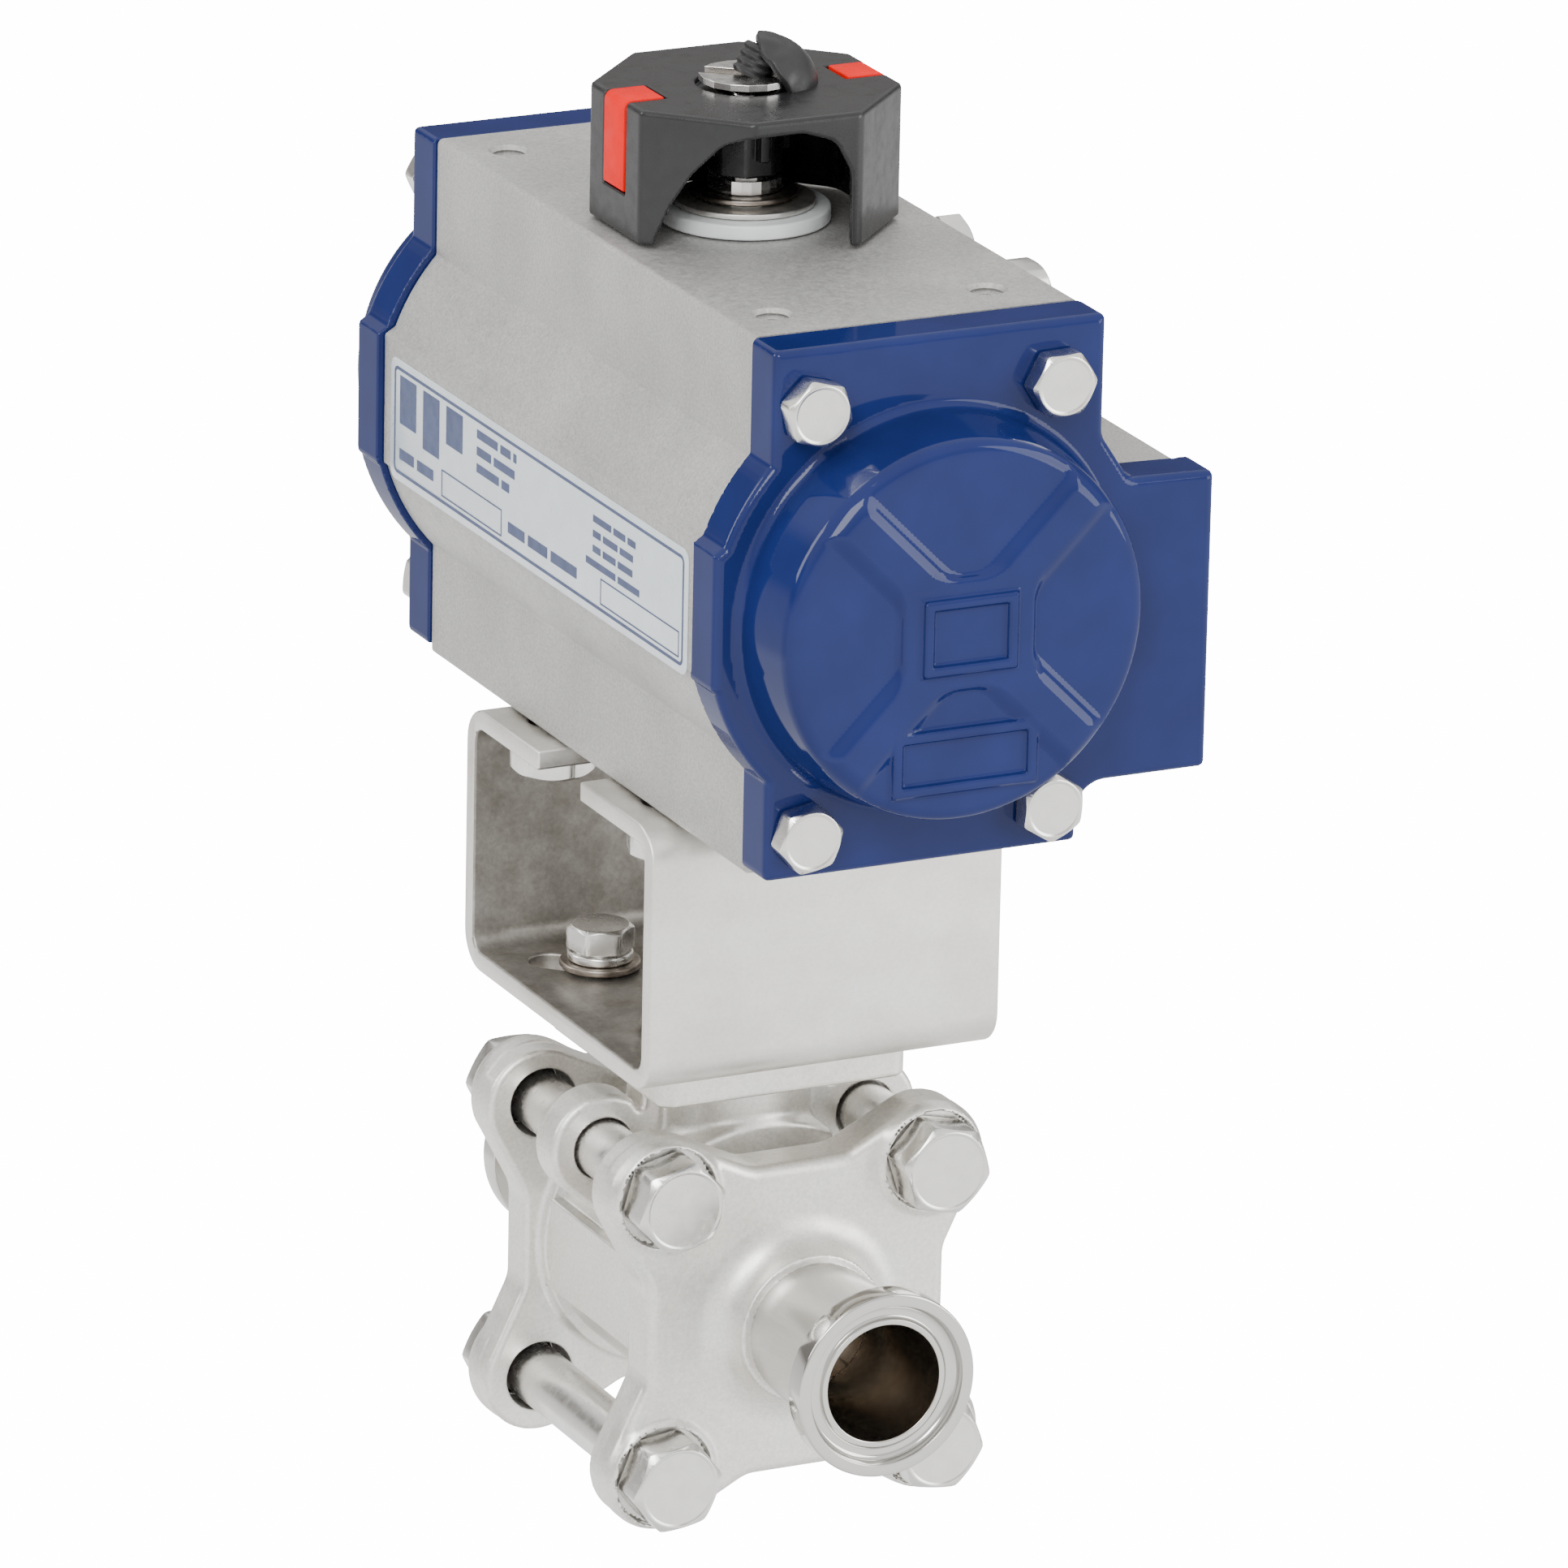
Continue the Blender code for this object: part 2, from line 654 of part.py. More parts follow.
def rack_outline():
    """Arm of the rear piston in plan: rack teeth face the pinion, one centred at y = 0."""
    root_x = PITCH_R + DEDENDUM
    tip_x = PITCH_R - ADDENDUM
    at_pitch = RACK_PITCH / 4 - BACKLASH
    at_root = at_pitch + DEDENDUM * math.tan(PRESSURE)
    at_tip = at_pitch - ADDENDUM * math.tan(PRESSURE)
    end = -PISTON_IN_Y + 0.9
    outline = [(ARM_BACK_X, PISTON_IN_Y + 2), (ARM_BACK_X, end), (root_x, end)]
    for tooth in range(-4, 5):
        middle = tooth * RACK_PITCH
        outline += [(root_x, middle - at_root), (tip_x, middle - at_tip)]
        outline += [(tip_x, middle + at_tip), (root_x, middle + at_root)]
    outline.append((root_x, PISTON_IN_Y + 2))
    return outline


def piston(name, side):
    """Piston disc with a seal groove and the rack arm; the front one is turned half round."""
    inner = PISTON_IN_Y
    outer = PISTON_IN_Y + PISTON_THICK
    groove = (inner + 1.8, outer - 1.8)
    sections = [(inner, PISTON_R), (groove[0], PISTON_R), (groove[0], PISTON_R - 2.2)]
    sections += [(groove[1], PISTON_R - 2.2), (groove[1], PISTON_R), (outer, PISTON_R)]
    disc = turned("y", sections, 32, (0, BORE_Z))
    arm = prism(rack_outline(), "z", BORE_Z - ARM_HALF_Z, BORE_Z + ARM_HALF_Z)
    if side < 0:
        half_turn = Matrix.Rotation(math.pi, 4, "Z")
        moved(disc, half_turn)
        moved(arm, half_turn)
    middle = (0.0, side * (inner + outer) / 2, BORE_Z)
    solid(name, disc, "piston_alloy", adds=[arm], origin=middle)


def piston_seal(name, side):
    """Seal ring in the piston's groove."""
    inner = side * (PISTON_IN_Y + 2.1)
    outer = side * (PISTON_IN_Y + PISTON_THICK - 2.1)
    mesh = tube("y", PISTON_R - 1.9, PISTON_R + 0.1, inner, outer, 24, (0, BORE_Z))
    solid(name, mesh, "black_rubber")


def spring(name, side):
    """Return spring between the piston and the cap, shown at its rest length."""
    turns = 4.5
    steps = 12
    sides = 5
    start = PISTON_IN_Y + PISTON_THICK + WIRE_R + GAP
    end = BOSS_Y - CAP_WALL - WIRE_R - GAP
    total = int(turns * steps)
    loops = []
    for index in range(total + 1):
        share = index / total
        angle = 2 * math.pi * turns * share
        along = start + (end - start) * share
        outwards = Vector((math.cos(angle), 0.0, math.sin(angle)))
        middle = outwards * SPRING_R + Vector((0.0, side * along, BORE_Z))
        loop = []
        for corner in range(sides):
            turn = 2 * math.pi * corner / sides
            offset = outwards * math.cos(turn) + Vector((0.0, math.sin(turn), 0.0))
            loop.append(middle + offset * WIRE_R)
        loops.append(loop)
    solid(name, loft(loops), "spring_steel")


def travel_stops():
    """Two screws that set the end positions, each with a lock nut on the right side."""
    nut_high = NUT_FACE_X + 5.0
    for word, side in (("front", -1), ("rear", 1)):
        place = (side * STOP_Y, STOP_Z)
        sections = [
            (STOP_TIP_X, STOP_R - 0.5),
            (STOP_TIP_X + 0.7, STOP_R),
            (STOP_END_X - STOP_HEAD, STOP_R),
            (STOP_END_X - STOP_HEAD, hexagon(10.0)),
            (STOP_END_X - 0.5, hexagon(10.0)),
            (STOP_END_X, 4.7),
        ]
        screw = turned("x", sections, 12, place)
        origin = (0.0, place[0], place[1])
        solid(f"stop_screw_{word}", screw, "bright_steel", origin=origin)
        nut, hole = hex_nut("x", 10.0, STOP_R + HOLE_GAP, NUT_FACE_X, nut_high, place)
        solid(f"stop_nut_{word}", nut, "bright_steel", cuts=[hole])


# ---------------------------------------------------------------- bracket

def bracket_outline():
    """Folded strip in the (y, z) plane, a box with a slot along its top."""
    low, high = BRACKET_Z
    inner_r = BEND_R - SHEET
    turns = [(BRACKET_Y - BEND_R, high - BEND_R, 90, 0), (BRACKET_Y - BEND_R, low + BEND_R, 0, -90),
             (-BRACKET_Y + BEND_R, low + BEND_R, 270, 180), (-BRACKET_Y + BEND_R, high - BEND_R, 180, 90)]
    outer = []
    inner = []
    for y, z, start, end in turns:
        outer += arc((y, z), BEND_R, start, end, 4)
        inner += arc((y, z), inner_r, start, end, 4)
    outline = [(BRACKET_SLOT, high)] + outer + [(-BRACKET_SLOT, high)]
    outline += [(-BRACKET_SLOT, high - SHEET)] + inner[::-1] + [(BRACKET_SLOT, high - SHEET)]
    return outline


def bracket():
    """Bracket with bolt holes, a clearance for the coupling and radial slots in its floor."""
    low, high = BRACKET_Z
    holes = [rod("z", 12.5, high - SHEET - OVERCUT, high + OVERCUT, count=24)]
    for x, y in corners(ACT_BOLT, ACT_BOLT):
        holes.append(bolt_hole("z", 3.2, high - SHEET - OVERCUT, high + OVERCUT, (x, y)))
    holes.append(rod("z", 10.0, low - OVERCUT, low + SHEET + OVERCUT, count=24))
    half = 2.8
    for turn in (45, 135, 225, 315):
        outline = arc((25.0, 0), half, -90, 90, 4) + arc((18.0, 0), half, 90, 270, 4)
        slot = prism(outline, "z", low - OVERCUT, low + SHEET + OVERCUT)
        holes.append(moved(slot, Matrix.Rotation(math.radians(turn), 4, "Z")))
    mesh = prism(bracket_outline(), "x", -BRACKET_X, BRACKET_X)
    solid("bracket", mesh, "sheet_steel", cuts=[together(*holes)])


def bracket_bolts():
    """Bolts up into the actuator, and bolts with their washers down into the valve's pad."""
    seat = BRACKET_Z[1] - SHEET - GAP
    for index, (x, y) in enumerate(corners(ACT_BOLT, ACT_BOLT), 1):
        mesh = hex_bolt("z", 10.0, 4.0, ACT_BOLT_R, 12.5, seat, (x, y), -1)
        solid(f"actuator_mount_bolt_{index}", mesh, "bright_steel")
    floor = BRACKET_Z[0] + SHEET + GAP
    for index, (x, y) in enumerate(corners(VALVE_BOLT, VALVE_BOLT), 1):
        sections = [
            (floor - 9.0, 2.0),
            (floor - 8.4, 2.4),
            (floor, 2.4),
            (floor, 5.4),
            (floor + 1.0, 5.4),
            (floor + 1.0, 4.4),
            (floor + 2.3, 4.4),
            (floor + 2.3, hexagon(8.0)),
            (floor + 5.4, hexagon(8.0)),
            (floor + 5.9, 3.8),
        ]
        mesh = turned("z", sections, 12, (x, y))
        solid(f"valve_mount_bolt_{index}", mesh, "bright_steel")


# ---------------------------------------------------------------- ball valve

def flange_outline():
    """An end piece's four-eared flange in the (x, z) plane, waists on its four sides."""
    outline = []
    tuck = 6.5
    for quarter in range(4):
        turn = math.radians(90 * quarter)
        local = [(WAIST, -tuck), (WAIST, tuck)]
        local += arc((VALVE_BOLT_X, VALVE_BOLT_Z), EAR_R, -22, 112, 7)
        for u, v in local:
            x = u * math.cos(turn) - v * math.sin(turn)
            z = u * math.sin(turn) + v * math.cos(turn)
            outline.append((x, z))
    return outline


def end_piece(name, side):
    """Eared flange, root fillet, tube and clamp ferrule, bored through."""
    def along(a, b):
        return sorted((side * a, side * b))
    face = FLOW_HALF
    mesh = prism(flange_outline(), "y", *along(*END_Y))
    sections = [
        (side * (END_Y[0] + 2), 13.5),
        (side * END_Y[1], 13.5),
        (side * (END_Y[1] + 1.4), 11.2),
        (side * (END_Y[1] + 3.6), TUBE_R + 0.4),
        (side * (END_Y[1] + 4.2), TUBE_R),
        (side * (face - 4.0), TUBE_R),
        (side * (face - 2.9), FERRULE_R),
        (side * face, FERRULE_R),
    ]
    neck = turned("y", sections, 24)
    bore = rod("y", PORT_R, *along(0, face + OVERCUT), count=24)
    groove = ring("y", [(8.9, side * (face + 1)), (9.6, side * (face - 1.3)),
                        (10.7, side * (face - 1.3)), (11.4, side * (face + 1))], 24)
    holes = []
    pockets = []
    for x, z in corners(VALVE_BOLT_X, VALVE_BOLT_Z):
        holes.append(bolt_hole("y", 4.2, *along(0, END_Y[1] + OVERCUT), (x, z)))
        pocket = hexagon(POCKET_HEX)
        ends = [(side * (END_Y[1] - 1.0), pocket), (side * (END_Y[1] + 1), pocket)]
        pockets.append(turned("y", ends, 6, (x, z)))
    cuts = [bore, groove, together(*holes), together(*pockets)]
    solid(name, mesh, "cast_steel", adds=[neck], cuts=cuts)


def valve_body():
    """Centre body: flat-sided drum, saddle, neck and pad, two top ears, and the ball's cavity."""
    drum = turned("y", [(-DRUM_HALF, DRUM_R), (-DRUM_HALF + 2.4, DRUM_R),
                        (-DRUM_HALF + 3.4, two_flats(DRUM_R - 0.6, 18.0)),
                        (DRUM_HALF - 3.4, two_flats(DRUM_R - 0.6, 18.0)),
                        (DRUM_HALF - 2.4, DRUM_R), (DRUM_HALF, DRUM_R)], 28)
    neck = rod("z", 10.7, 12.0, PAD_TOP - 2, count=24)
    half = 17.8
    turn = 2.0
    outline = []
    for x, y, start in ((half, -half, -90), (half, half, 0), (-half, half, 90), (-half, -half, 180)):
        middle = (x - math.copysign(turn, x), y - math.copysign(turn, y))
        outline += arc(middle, turn, start, start + 90, 3)
    pad = prism(outline, "z", PAD_TOP - PAD_THICK, PAD_TOP)
    ear_r = EAR_R - 0.3
    web = [(13.6, 23.4), (13.2, 31.0), (-13.2, 31.0), (-13.6, 23.4)]
    ears = arc((VALVE_BOLT_X, VALVE_BOLT_Z), ear_r, -45, 125, 8) + web
    ears += arc((-VALVE_BOLT_X, VALVE_BOLT_Z), ear_r, 55, 225, 8) + [(-13.0, 5.0), (13.0, 5.0)]
    plate = prism(ears, "y", -3.0, 3.0)
    saddle = prism(arc((0, 0), 23.0, 63, 117, 6) + [(-10.4, 12.0), (10.4, 12.0)], "y", -11.2, 11.2)
    cavity = rod("y", CAVITY_R, -DRUM_HALF - OVERCUT, DRUM_HALF + OVERCUT, count=24)
    stem_hole = turned("z", [(8, 7.4), (17.0, 7.4), (17.0, 5.05), (27.0, 5.05),
                             (27.0, 8.2), (PAD_TOP + 1, 8.2)], 24)
    holes = []
    for x in (-VALVE_BOLT_X, VALVE_BOLT_X):
        holes.append(bolt_hole("y", 4.2, -4, 4, (x, VALVE_BOLT_Z)))
    for x, y in corners(VALVE_BOLT, VALVE_BOLT):
        holes.append(bolt_hole("z", 2.6, PAD_TOP - 6, PAD_TOP + OVERCUT, (x, y)))
    cuts = [cavity, stem_hole, together(*holes)]
    solid("valve_body", drum, "cast_steel", adds=[neck, saddle, plate, pad], cuts=cuts)


def ball_and_seats():
    """Ball with its port across the flow (shut) and a slot for the stem, between two seats."""
    ball = bmesh.new()
    bmesh.ops.create_uvsphere(ball, u_segments=24, v_segments=12, radius=BALL_R)
    port = rod("x", PORT_R, -20, 20, count=24)
    slot = box((-2.6, -20, BALL_R - 3.6), (2.6, 20, 20))
    solid("ball", ball, "bright_steel", cuts=[together(port, slot)])
    profile = [(PORT_R + 0.1, 13.95), (PORT_R + 0.1, 11.6), (12.0, 7.5), (13.9, 7.5), (13.9, 13.95)]
    for word, side in (("front", -1), ("rear", 1)):
        mesh = ring("y", [(radius, side * along) for radius, along in profile], 24)
        solid(f"{word}_seat", mesh, "white_plastic")


def stem_parts():
    """Stem with its tongue in the ball, packing ring and gland nut."""
    tongue = box((-2.3, -4.6, BALL_R - 3.2), (2.3, 4.6, 15.0))
    flats = two_flats(4.75, 3.5)
    sections = [(14.3, 7.0), (16.7, 7.0), (16.7, 4.8), (43.0, 4.8), (43.0, flats), (53.5, flats)]
    solid("valve_stem", turned("z", sections, 24), "bright_steel", adds=[tongue])
    solid("stem_packing", tube("z", 5.05, 7.9, 27.3, 31.0), "white_plastic")
    sections = [(31.3, 7.9), (37.6, 7.9), (37.6, hexagon(15.0)), (42.2, hexagon(15.0)), (42.8, 6.9)]
    nut = turned("z", sections, 24)
    solid("gland_nut", nut, "bright_steel", cuts=[rod("z", 5.1, 30, 45, count=24)])


def valve_bolts():
    """Four long bolts through the valve from the front, with nuts at the back."""
    for index, (x, z) in enumerate(corners(VALVE_BOLT_X, VALVE_BOLT_Z), 1):
        seat = -(END_Y[1] - 1.0 + GAP)
        mesh = hex_bolt("y", VALVE_HEX, 6.0, 3.95, 52.0, seat, (x, z), -1)
        solid(f"valve_bolt_{index}", mesh, "bright_steel")
        low = END_Y[1] - 1.0 + GAP
        nut, hole = hex_nut("y", VALVE_HEX, 4.2, low, low + 5.8, (x, z))
        solid(f"valve_nut_{index}", nut, "bright_steel", cuts=[hole])


# ---------------------------------------------------------------- assembly

def clear_scene():
    """Remove what the file starts with."""
    for old in list(bpy.data.objects):
        bpy.data.objects.remove(old)


def main():
    clear_scene()
    stem_axis = bpy.data.objects.new("stem_axis", None)
    stem_axis.location = (0.0, FLOW_HALF * MM, 0.0)
    bpy.context.scene.collection.objects.link(stem_axis)
    actuator_body()
    cap_bolts()
    shaft_bushes()
    pinion_shaft()
    stop_cam()
    shaft_rings()
    indicator_cap()
    indicator_parts()
    drive_coupling()
    for word, side in (("front", -1), ("rear", 1)):
        end_cap(f"{word}_end_cap", side)
        piston(f"{word}_piston", side)
        piston_seal(f"{word}_piston_seal", side)
        spring(f"{word}_spring", side)
        end_piece(f"{word}_end_piece", side)
    travel_stops()
    bracket()
    bracket_bolts()
    valve_body()
    ball_and_seats()
    stem_parts()
    valve_bolts()


main()
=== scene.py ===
"""Looks of the pneumatic actuated ball valve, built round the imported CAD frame.

Meshes are written in millimetres round the stem axis: X right, Y away along the flow, Z up from the
flow axis. place() turns them into metres in the row frame. Cast and moulded pieces are meshed from
distance fields, so that their edges and fillets are round; turned, folded and cut pieces are
built from profiles.
"""

import math

import bmesh
import bpy
import numpy as np
from mathutils import Matrix, Vector


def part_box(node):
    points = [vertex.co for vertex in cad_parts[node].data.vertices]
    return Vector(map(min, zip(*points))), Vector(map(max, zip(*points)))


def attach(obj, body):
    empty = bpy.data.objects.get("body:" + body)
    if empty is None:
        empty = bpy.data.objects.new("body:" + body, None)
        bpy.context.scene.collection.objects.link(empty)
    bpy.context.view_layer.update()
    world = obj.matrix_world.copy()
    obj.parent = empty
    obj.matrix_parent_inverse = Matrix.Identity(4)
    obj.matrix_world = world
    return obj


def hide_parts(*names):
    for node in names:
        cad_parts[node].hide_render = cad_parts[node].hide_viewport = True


MM = 0.001


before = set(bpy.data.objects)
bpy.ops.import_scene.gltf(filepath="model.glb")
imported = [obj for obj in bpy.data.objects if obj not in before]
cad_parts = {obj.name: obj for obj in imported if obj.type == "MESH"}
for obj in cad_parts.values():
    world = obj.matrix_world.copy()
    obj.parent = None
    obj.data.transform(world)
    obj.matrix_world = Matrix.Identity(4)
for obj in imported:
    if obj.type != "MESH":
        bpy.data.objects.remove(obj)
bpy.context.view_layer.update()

RING_LOW, RING_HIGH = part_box("thrust_ring")
STEM_Y = (RING_LOW.y + RING_HIGH.y) / 2 / MM


def node_box(node):
    """A CAD node's corners in millimetres round the stem axis."""
    low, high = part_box(node)
    shift = Vector((0.0, STEM_Y, 0.0))
    return low / MM - shift, high / MM - shift


BODY_LOW, BODY_HIGH = node_box("actuator_body")
CAP_LOW, CAP_HIGH = node_box("rear_end_cap")
BRACKET_LOW, BRACKET_HIGH = node_box("bracket")
VALVE_LOW, VALVE_HIGH = node_box("valve_body")
END_LOW, END_HIGH = node_box("rear_end_piece")
IND_LOW, IND_HIGH = node_box("indicator_cap")
SEAL_LOW, SEAL_HIGH = node_box("rear_piston_seal")

CRISP = 18.0                   # fasteners keep every edge sharper than this many degrees
FIXED = "valve_frame"
SHAFT = "shaft"
TOP = BODY_HIGH.z
BORE_Z = (SEAL_LOW.z + SEAL_HIGH.z) / 2
CAP_STEP = CAP_HIGH.x - BODY_HIGH.x
SEAM_Y = CAP_LOW.y
BOSS_Y = CAP_HIGH.y
FLANGE_Y = SEAM_Y + 7.1
BOSS_ROOT_R = 26.3
BOSS_R = 24.6
PAD_FACE_X = BODY_HIGH.x
PAD_MID_Z = BORE_Z - 6.3
CYLINDER_R = 26.0
FERRULE_Y = END_HIGH.y
FLANGE_OUT = 22.7
EAR_IN = 15.9
NECK_END = 27.4
VALVE_BOLT = (19.0, 19.3)
VALVE_HEX = 11.3               # widths over flats, and an M6 head's height
M5_HEX = 8.0
M6_HEX = 10.0
M6_HEAD = 4.0
CAP_BOLT = (17.0, 28.0)
ACT_BOLT = 17.7
PAD_BOLT = 12.7
TOP_HOLES = (15.0, 40.0)
STOP_Y = 11.2
STOP_Z = TOP - 11.8
LEFT_FLAT = 29.6               # how far the caps' left side stands from the stem axis


# ---------------------------------------------------------------- outlines and distance fields

def filleted(points, steps=6):
    """A closed outline from (u, v, radius) corners, each corner rounded by its radius."""
    outline = []
    total = len(points)
    for index in range(total):
        before = Vector(points[index - 1][:2])
        here = Vector(points[index][:2])
        after = Vector(points[(index + 1) % total][:2])
        radius = points[index][2]
        back = (before - here).normalized()
        on = (after - here).normalized()
        half = back.angle(on) / 2
        if radius <= 0 or half > math.radians(89):
            outline.append(tuple(here))
            continue
        reach = radius / math.tan(half)
        reach = min(reach, (before - here).length * 0.49, (after - here).length * 0.49)
        real = reach * math.tan(half)
        centre = here + (back + on).normalized() * (real / math.sin(half))
        start = here + back * reach - centre
        end = here + on * reach - centre
        sweep = start.angle_signed(end)
        for step in range(steps + 1):
            turn = Matrix.Rotation(-sweep * step / steps, 2)
            outline.append(tuple(centre + turn @ start))
    return outline


def arc(centre, radius, start, end, steps, ease=None):
    """Points of an arc, its angles in degrees; with ease, as corners for filleted()."""
    points = []
    for index in range(steps + 1):
        angle = math.radians(start + (end - start) * index / steps)
        spot = (centre[0] + radius * math.cos(angle), centre[1] + radius * math.sin(angle))
        points.append(spot if ease is None else (*spot, ease))
    return points


def rounded_box(u0, v0, u1, v1, ease, steps, far=None):
    """A rectangle's outline with rounded corners, the two at u1 rounded by far where given."""
    far = ease if far is None else far
    return filleted([(u0, v0, ease), (u1, v0, far), (u1, v1, far), (u0, v1, ease)], steps)


def polygon_field(outline):
    """The signed distance to a closed outline in two dimensions, as a function of arrays."""
    points = np.array(outline)

    def distance(u, v):
        best = np.full(np.broadcast(u, v).shape, 1e9)
        inside = np.zeros(best.shape, bool)
        for (au, av), (bu, bv) in zip(points, np.roll(points, -1, axis=0)):
            du, dv = bu - au, bv - av
            share = np.clip(((u - au) * du + (v - av) * dv) / (du * du + dv * dv), 0, 1)
            away = (u - au - share * du) ** 2 + (v - av - share * dv) ** 2
            best = np.minimum(best, away)
            if bv != av:
                crosses = ((av > v) != (bv > v)) & (u < (v - av) * du / dv + au)
                inside ^= crosses
        return np.where(inside, -1.0, 1.0) * np.sqrt(best)

    return distance


def meet(a, b, radius):
    """Where both fields are solid, the edge between them rounded."""
    return np.minimum(-radius, np.maximum(a, b)) + np.hypot(
        np.maximum(a + radius, 0), np.maximum(b + radius, 0))


def join(a, b, radius):
    """Where either field is solid, the corner between them filled by a fillet."""
    return -meet(-a, -b, radius)


def cut(a, b, radius):
    """Field a without field b, the edge rounded."""
    return meet(a, -b, radius)


def bar(value, half):
    """Distance to a slab of that half width."""
    return np.abs(value) - half


def gradient(field, points, step=0.02):
    """The field and its slope at points."""
    here = field(*points.T)
    slope = np.empty_like(points)
    for axis in range(3):
        moved = points.copy()
        moved[:, axis] += step
        slope[:, axis] = (field(*moved.T) - here) / step
    return here, slope


def read(items, key, width=1, kind=float):
    """One attribute of every vertex, corner or face, in rows where it is a vector."""
    values = np.empty(len(items) * width, kind)
    items.foreach_get(key, values)
    return values.reshape(-1, width) if width > 1 else values


def corner_normals(field, data, side, reach=0.35, limit=0.985):
    """A normal for each face corner from the field's slope, taken a little inside the face where
    the surface turns sharply, so that flats stay flat and small roundings stay smooth."""
    flip = (1, side, 1)
    coords = read(data.vertices, "co", 3) * flip
    corner = read(data.loops, "vertex_index", kind=int)
    total = read(data.polygons, "loop_total", kind=int)
    face = np.repeat(np.arange(len(total)), total)
    normal = read(data.polygons, "normal", 3) * flip
    centre = read(data.polygons, "center", 3) * flip
    slope = unit(gradient(field, coords)[1])[corner]
    turning = (slope * normal[face]).sum(1) < limit
    inward = (centre[face] - coords[corner])[turning]
    length = np.linalg.norm(inward, axis=1)
    share = np.minimum(reach / np.maximum(length, 1e-9), 0.33)
    spots = coords[corner][turning] + inward * share[:, None]
    slope[turning] = unit(gradient(field, spots)[1])
    return slope * flip


def unit(vectors):
    """Vectors scaled to unit length."""
    return vectors / np.maximum(np.linalg.norm(vectors, axis=1), 1e-9)[:, None]


def window(ranges):
    """An index that takes the given (start, stop) of some axes and all of the others."""
    return tuple(slice(*ranges.get(axis, (None,))) for axis in range(3))


def surface(field, low, high, cell):
    """Vertices and quads where a field changes sign: a net of cells pulled onto the surface."""
    axes = [np.arange(start - cell, end + 2 * cell, cell) for start, end in zip(low, high)]
    grid = np.meshgrid(*axes, indexing="ij", sparse=True)
    size = [len(axis) for axis in axes]
    value = np.broadcast_to(field(*grid), size).astype(np.float32)
    inside = value < 0
    cells = [length - 1 for length in size]
    total = np.zeros(cells + [3])
    count = np.zeros(cells)
    crossings = []
    for a in range(3):
        b, c = (a + 1) % 3, (a + 2) % 3
        low_side = window({a: (0, -1)})
        high_side = window({a: (1, None)})
        start, end = value[low_side], value[high_side]
        crosses = inside[low_side] != inside[high_side]
        share = np.where(crosses, start / np.where(crosses, start - end, 1), 0)
        crossings.append((crosses, inside[low_side]))
        for over_b in (0, 1):
            for over_c in (0, 1):
                part = window({b: (over_b, cells[b] + over_b), c: (over_c, cells[c] + over_c)})
                here = crosses[part]
                count += here
                total[..., a] += share[part]
                total[..., b] += here * over_b
                total[..., c] += here * over_c
    active = count > 0
    number = np.full(cells, -1)
    number[active] = np.arange(active.sum())
    where = np.argwhere(active)
    points = (where + total[active] / count[active][:, None]) * cell
    points += np.array([axis[0] for axis in axes])
    faces = []
    for a, (crosses, solid) in enumerate(crossings):
        b, c = (a + 1) % 3, (a + 2) % 3
        inner = window({b: (1, cells[b]), c: (1, cells[c])})
        found = crosses[inner]
        outward = solid[inner][found]
        ring = []
        for over_b, over_c in ((0, 0), (1, 0), (1, 1), (0, 1)):
            part = window({b: (over_b, cells[b] - 1 + over_b), c: (over_c, cells[c] - 1 + over_c)})
            ring.append(number[part][found])
        quads = np.stack(ring, axis=1)
        quads[~outward] = quads[~outward][:, ::-1]
        faces.append(quads)
    for _ in range(4):
        here, slope = gradient(field, points)
        step = slope * (here / np.maximum((slope ** 2).sum(1), 0.05))[:, None]
        length = np.linalg.norm(step, axis=1)
        step *= np.minimum(1, 0.4 * cell / np.maximum(length, 1e-9))[:, None]
        points -= step
    return points, np.concatenate(faces)


# ---------------------------------------------------------------- pieces

def as_object(name, mesh):
    """A linked object from a bmesh, which it uses up."""
    data = bpy.data.meshes.new(name)
    mesh.to_mesh(data)
    mesh.free()
    made = bpy.data.objects.new(name, data)
    bpy.context.scene.collection.objects.link(made)
    return made


def drop(holder):
    """Remove a work object and its mesh."""
    data = holder.data
    bpy.data.objects.remove(holder)
    bpy.data.meshes.remove(data)


def place(name, mesh, material, body, replaced=(), sharp=35.0, field=None, side=1):
    """Make a bmesh in millimetres a piece in the row frame, riding on a body. A piece made from
    a field takes its shading from it, side -1 being the mirrored copy."""
    made = as_object(name, mesh)
    data = made.data
    normals = corner_normals(field, data, side) if field else None
    data.transform(Matrix.Translation((0.0, STEM_Y * MM, 0.0)) @ Matrix.Scale(MM, 4))
    data.shade_smooth()
    if field:
        data.normals_split_custom_set(normals.tolist())
    else:
        data.set_sharp_from_angle(angle=math.radians(sharp))
    data.materials.append(material)
    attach(made, body)
    if replaced:
        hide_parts(*replaced)
    return made


def fastener(name, mesh, ease=0.06, body=FIXED):
    """A bolt, nut or screw with eased edges, in place of its CAD node."""
    place(name + "_fine", bevelled(mesh, ease, 25), BRIGHT, body, [name], CRISP)


def repaint(made, material, chosen):
    """Give a second material to the faces chosen by their centre in millimetres and their normal."""
    made.data.materials.append(material)
    for face in made.data.polygons:
        middle = face.center / MM - Vector((0.0, STEM_Y, 0.0))
        face.material_index = 1 if chosen(middle, face.normal) else 0


def applied(mesh, kind, **settings):
    """A bmesh after one modifier."""
    holder = as_object("work", mesh)
    step = holder.modifiers.new("step", kind)
    for key, value in settings.items():
        setattr(step, key, value)
    result = bmesh.new()
    result.from_object(holder, bpy.context.evaluated_depsgraph_get())
    drop(holder)
    return result


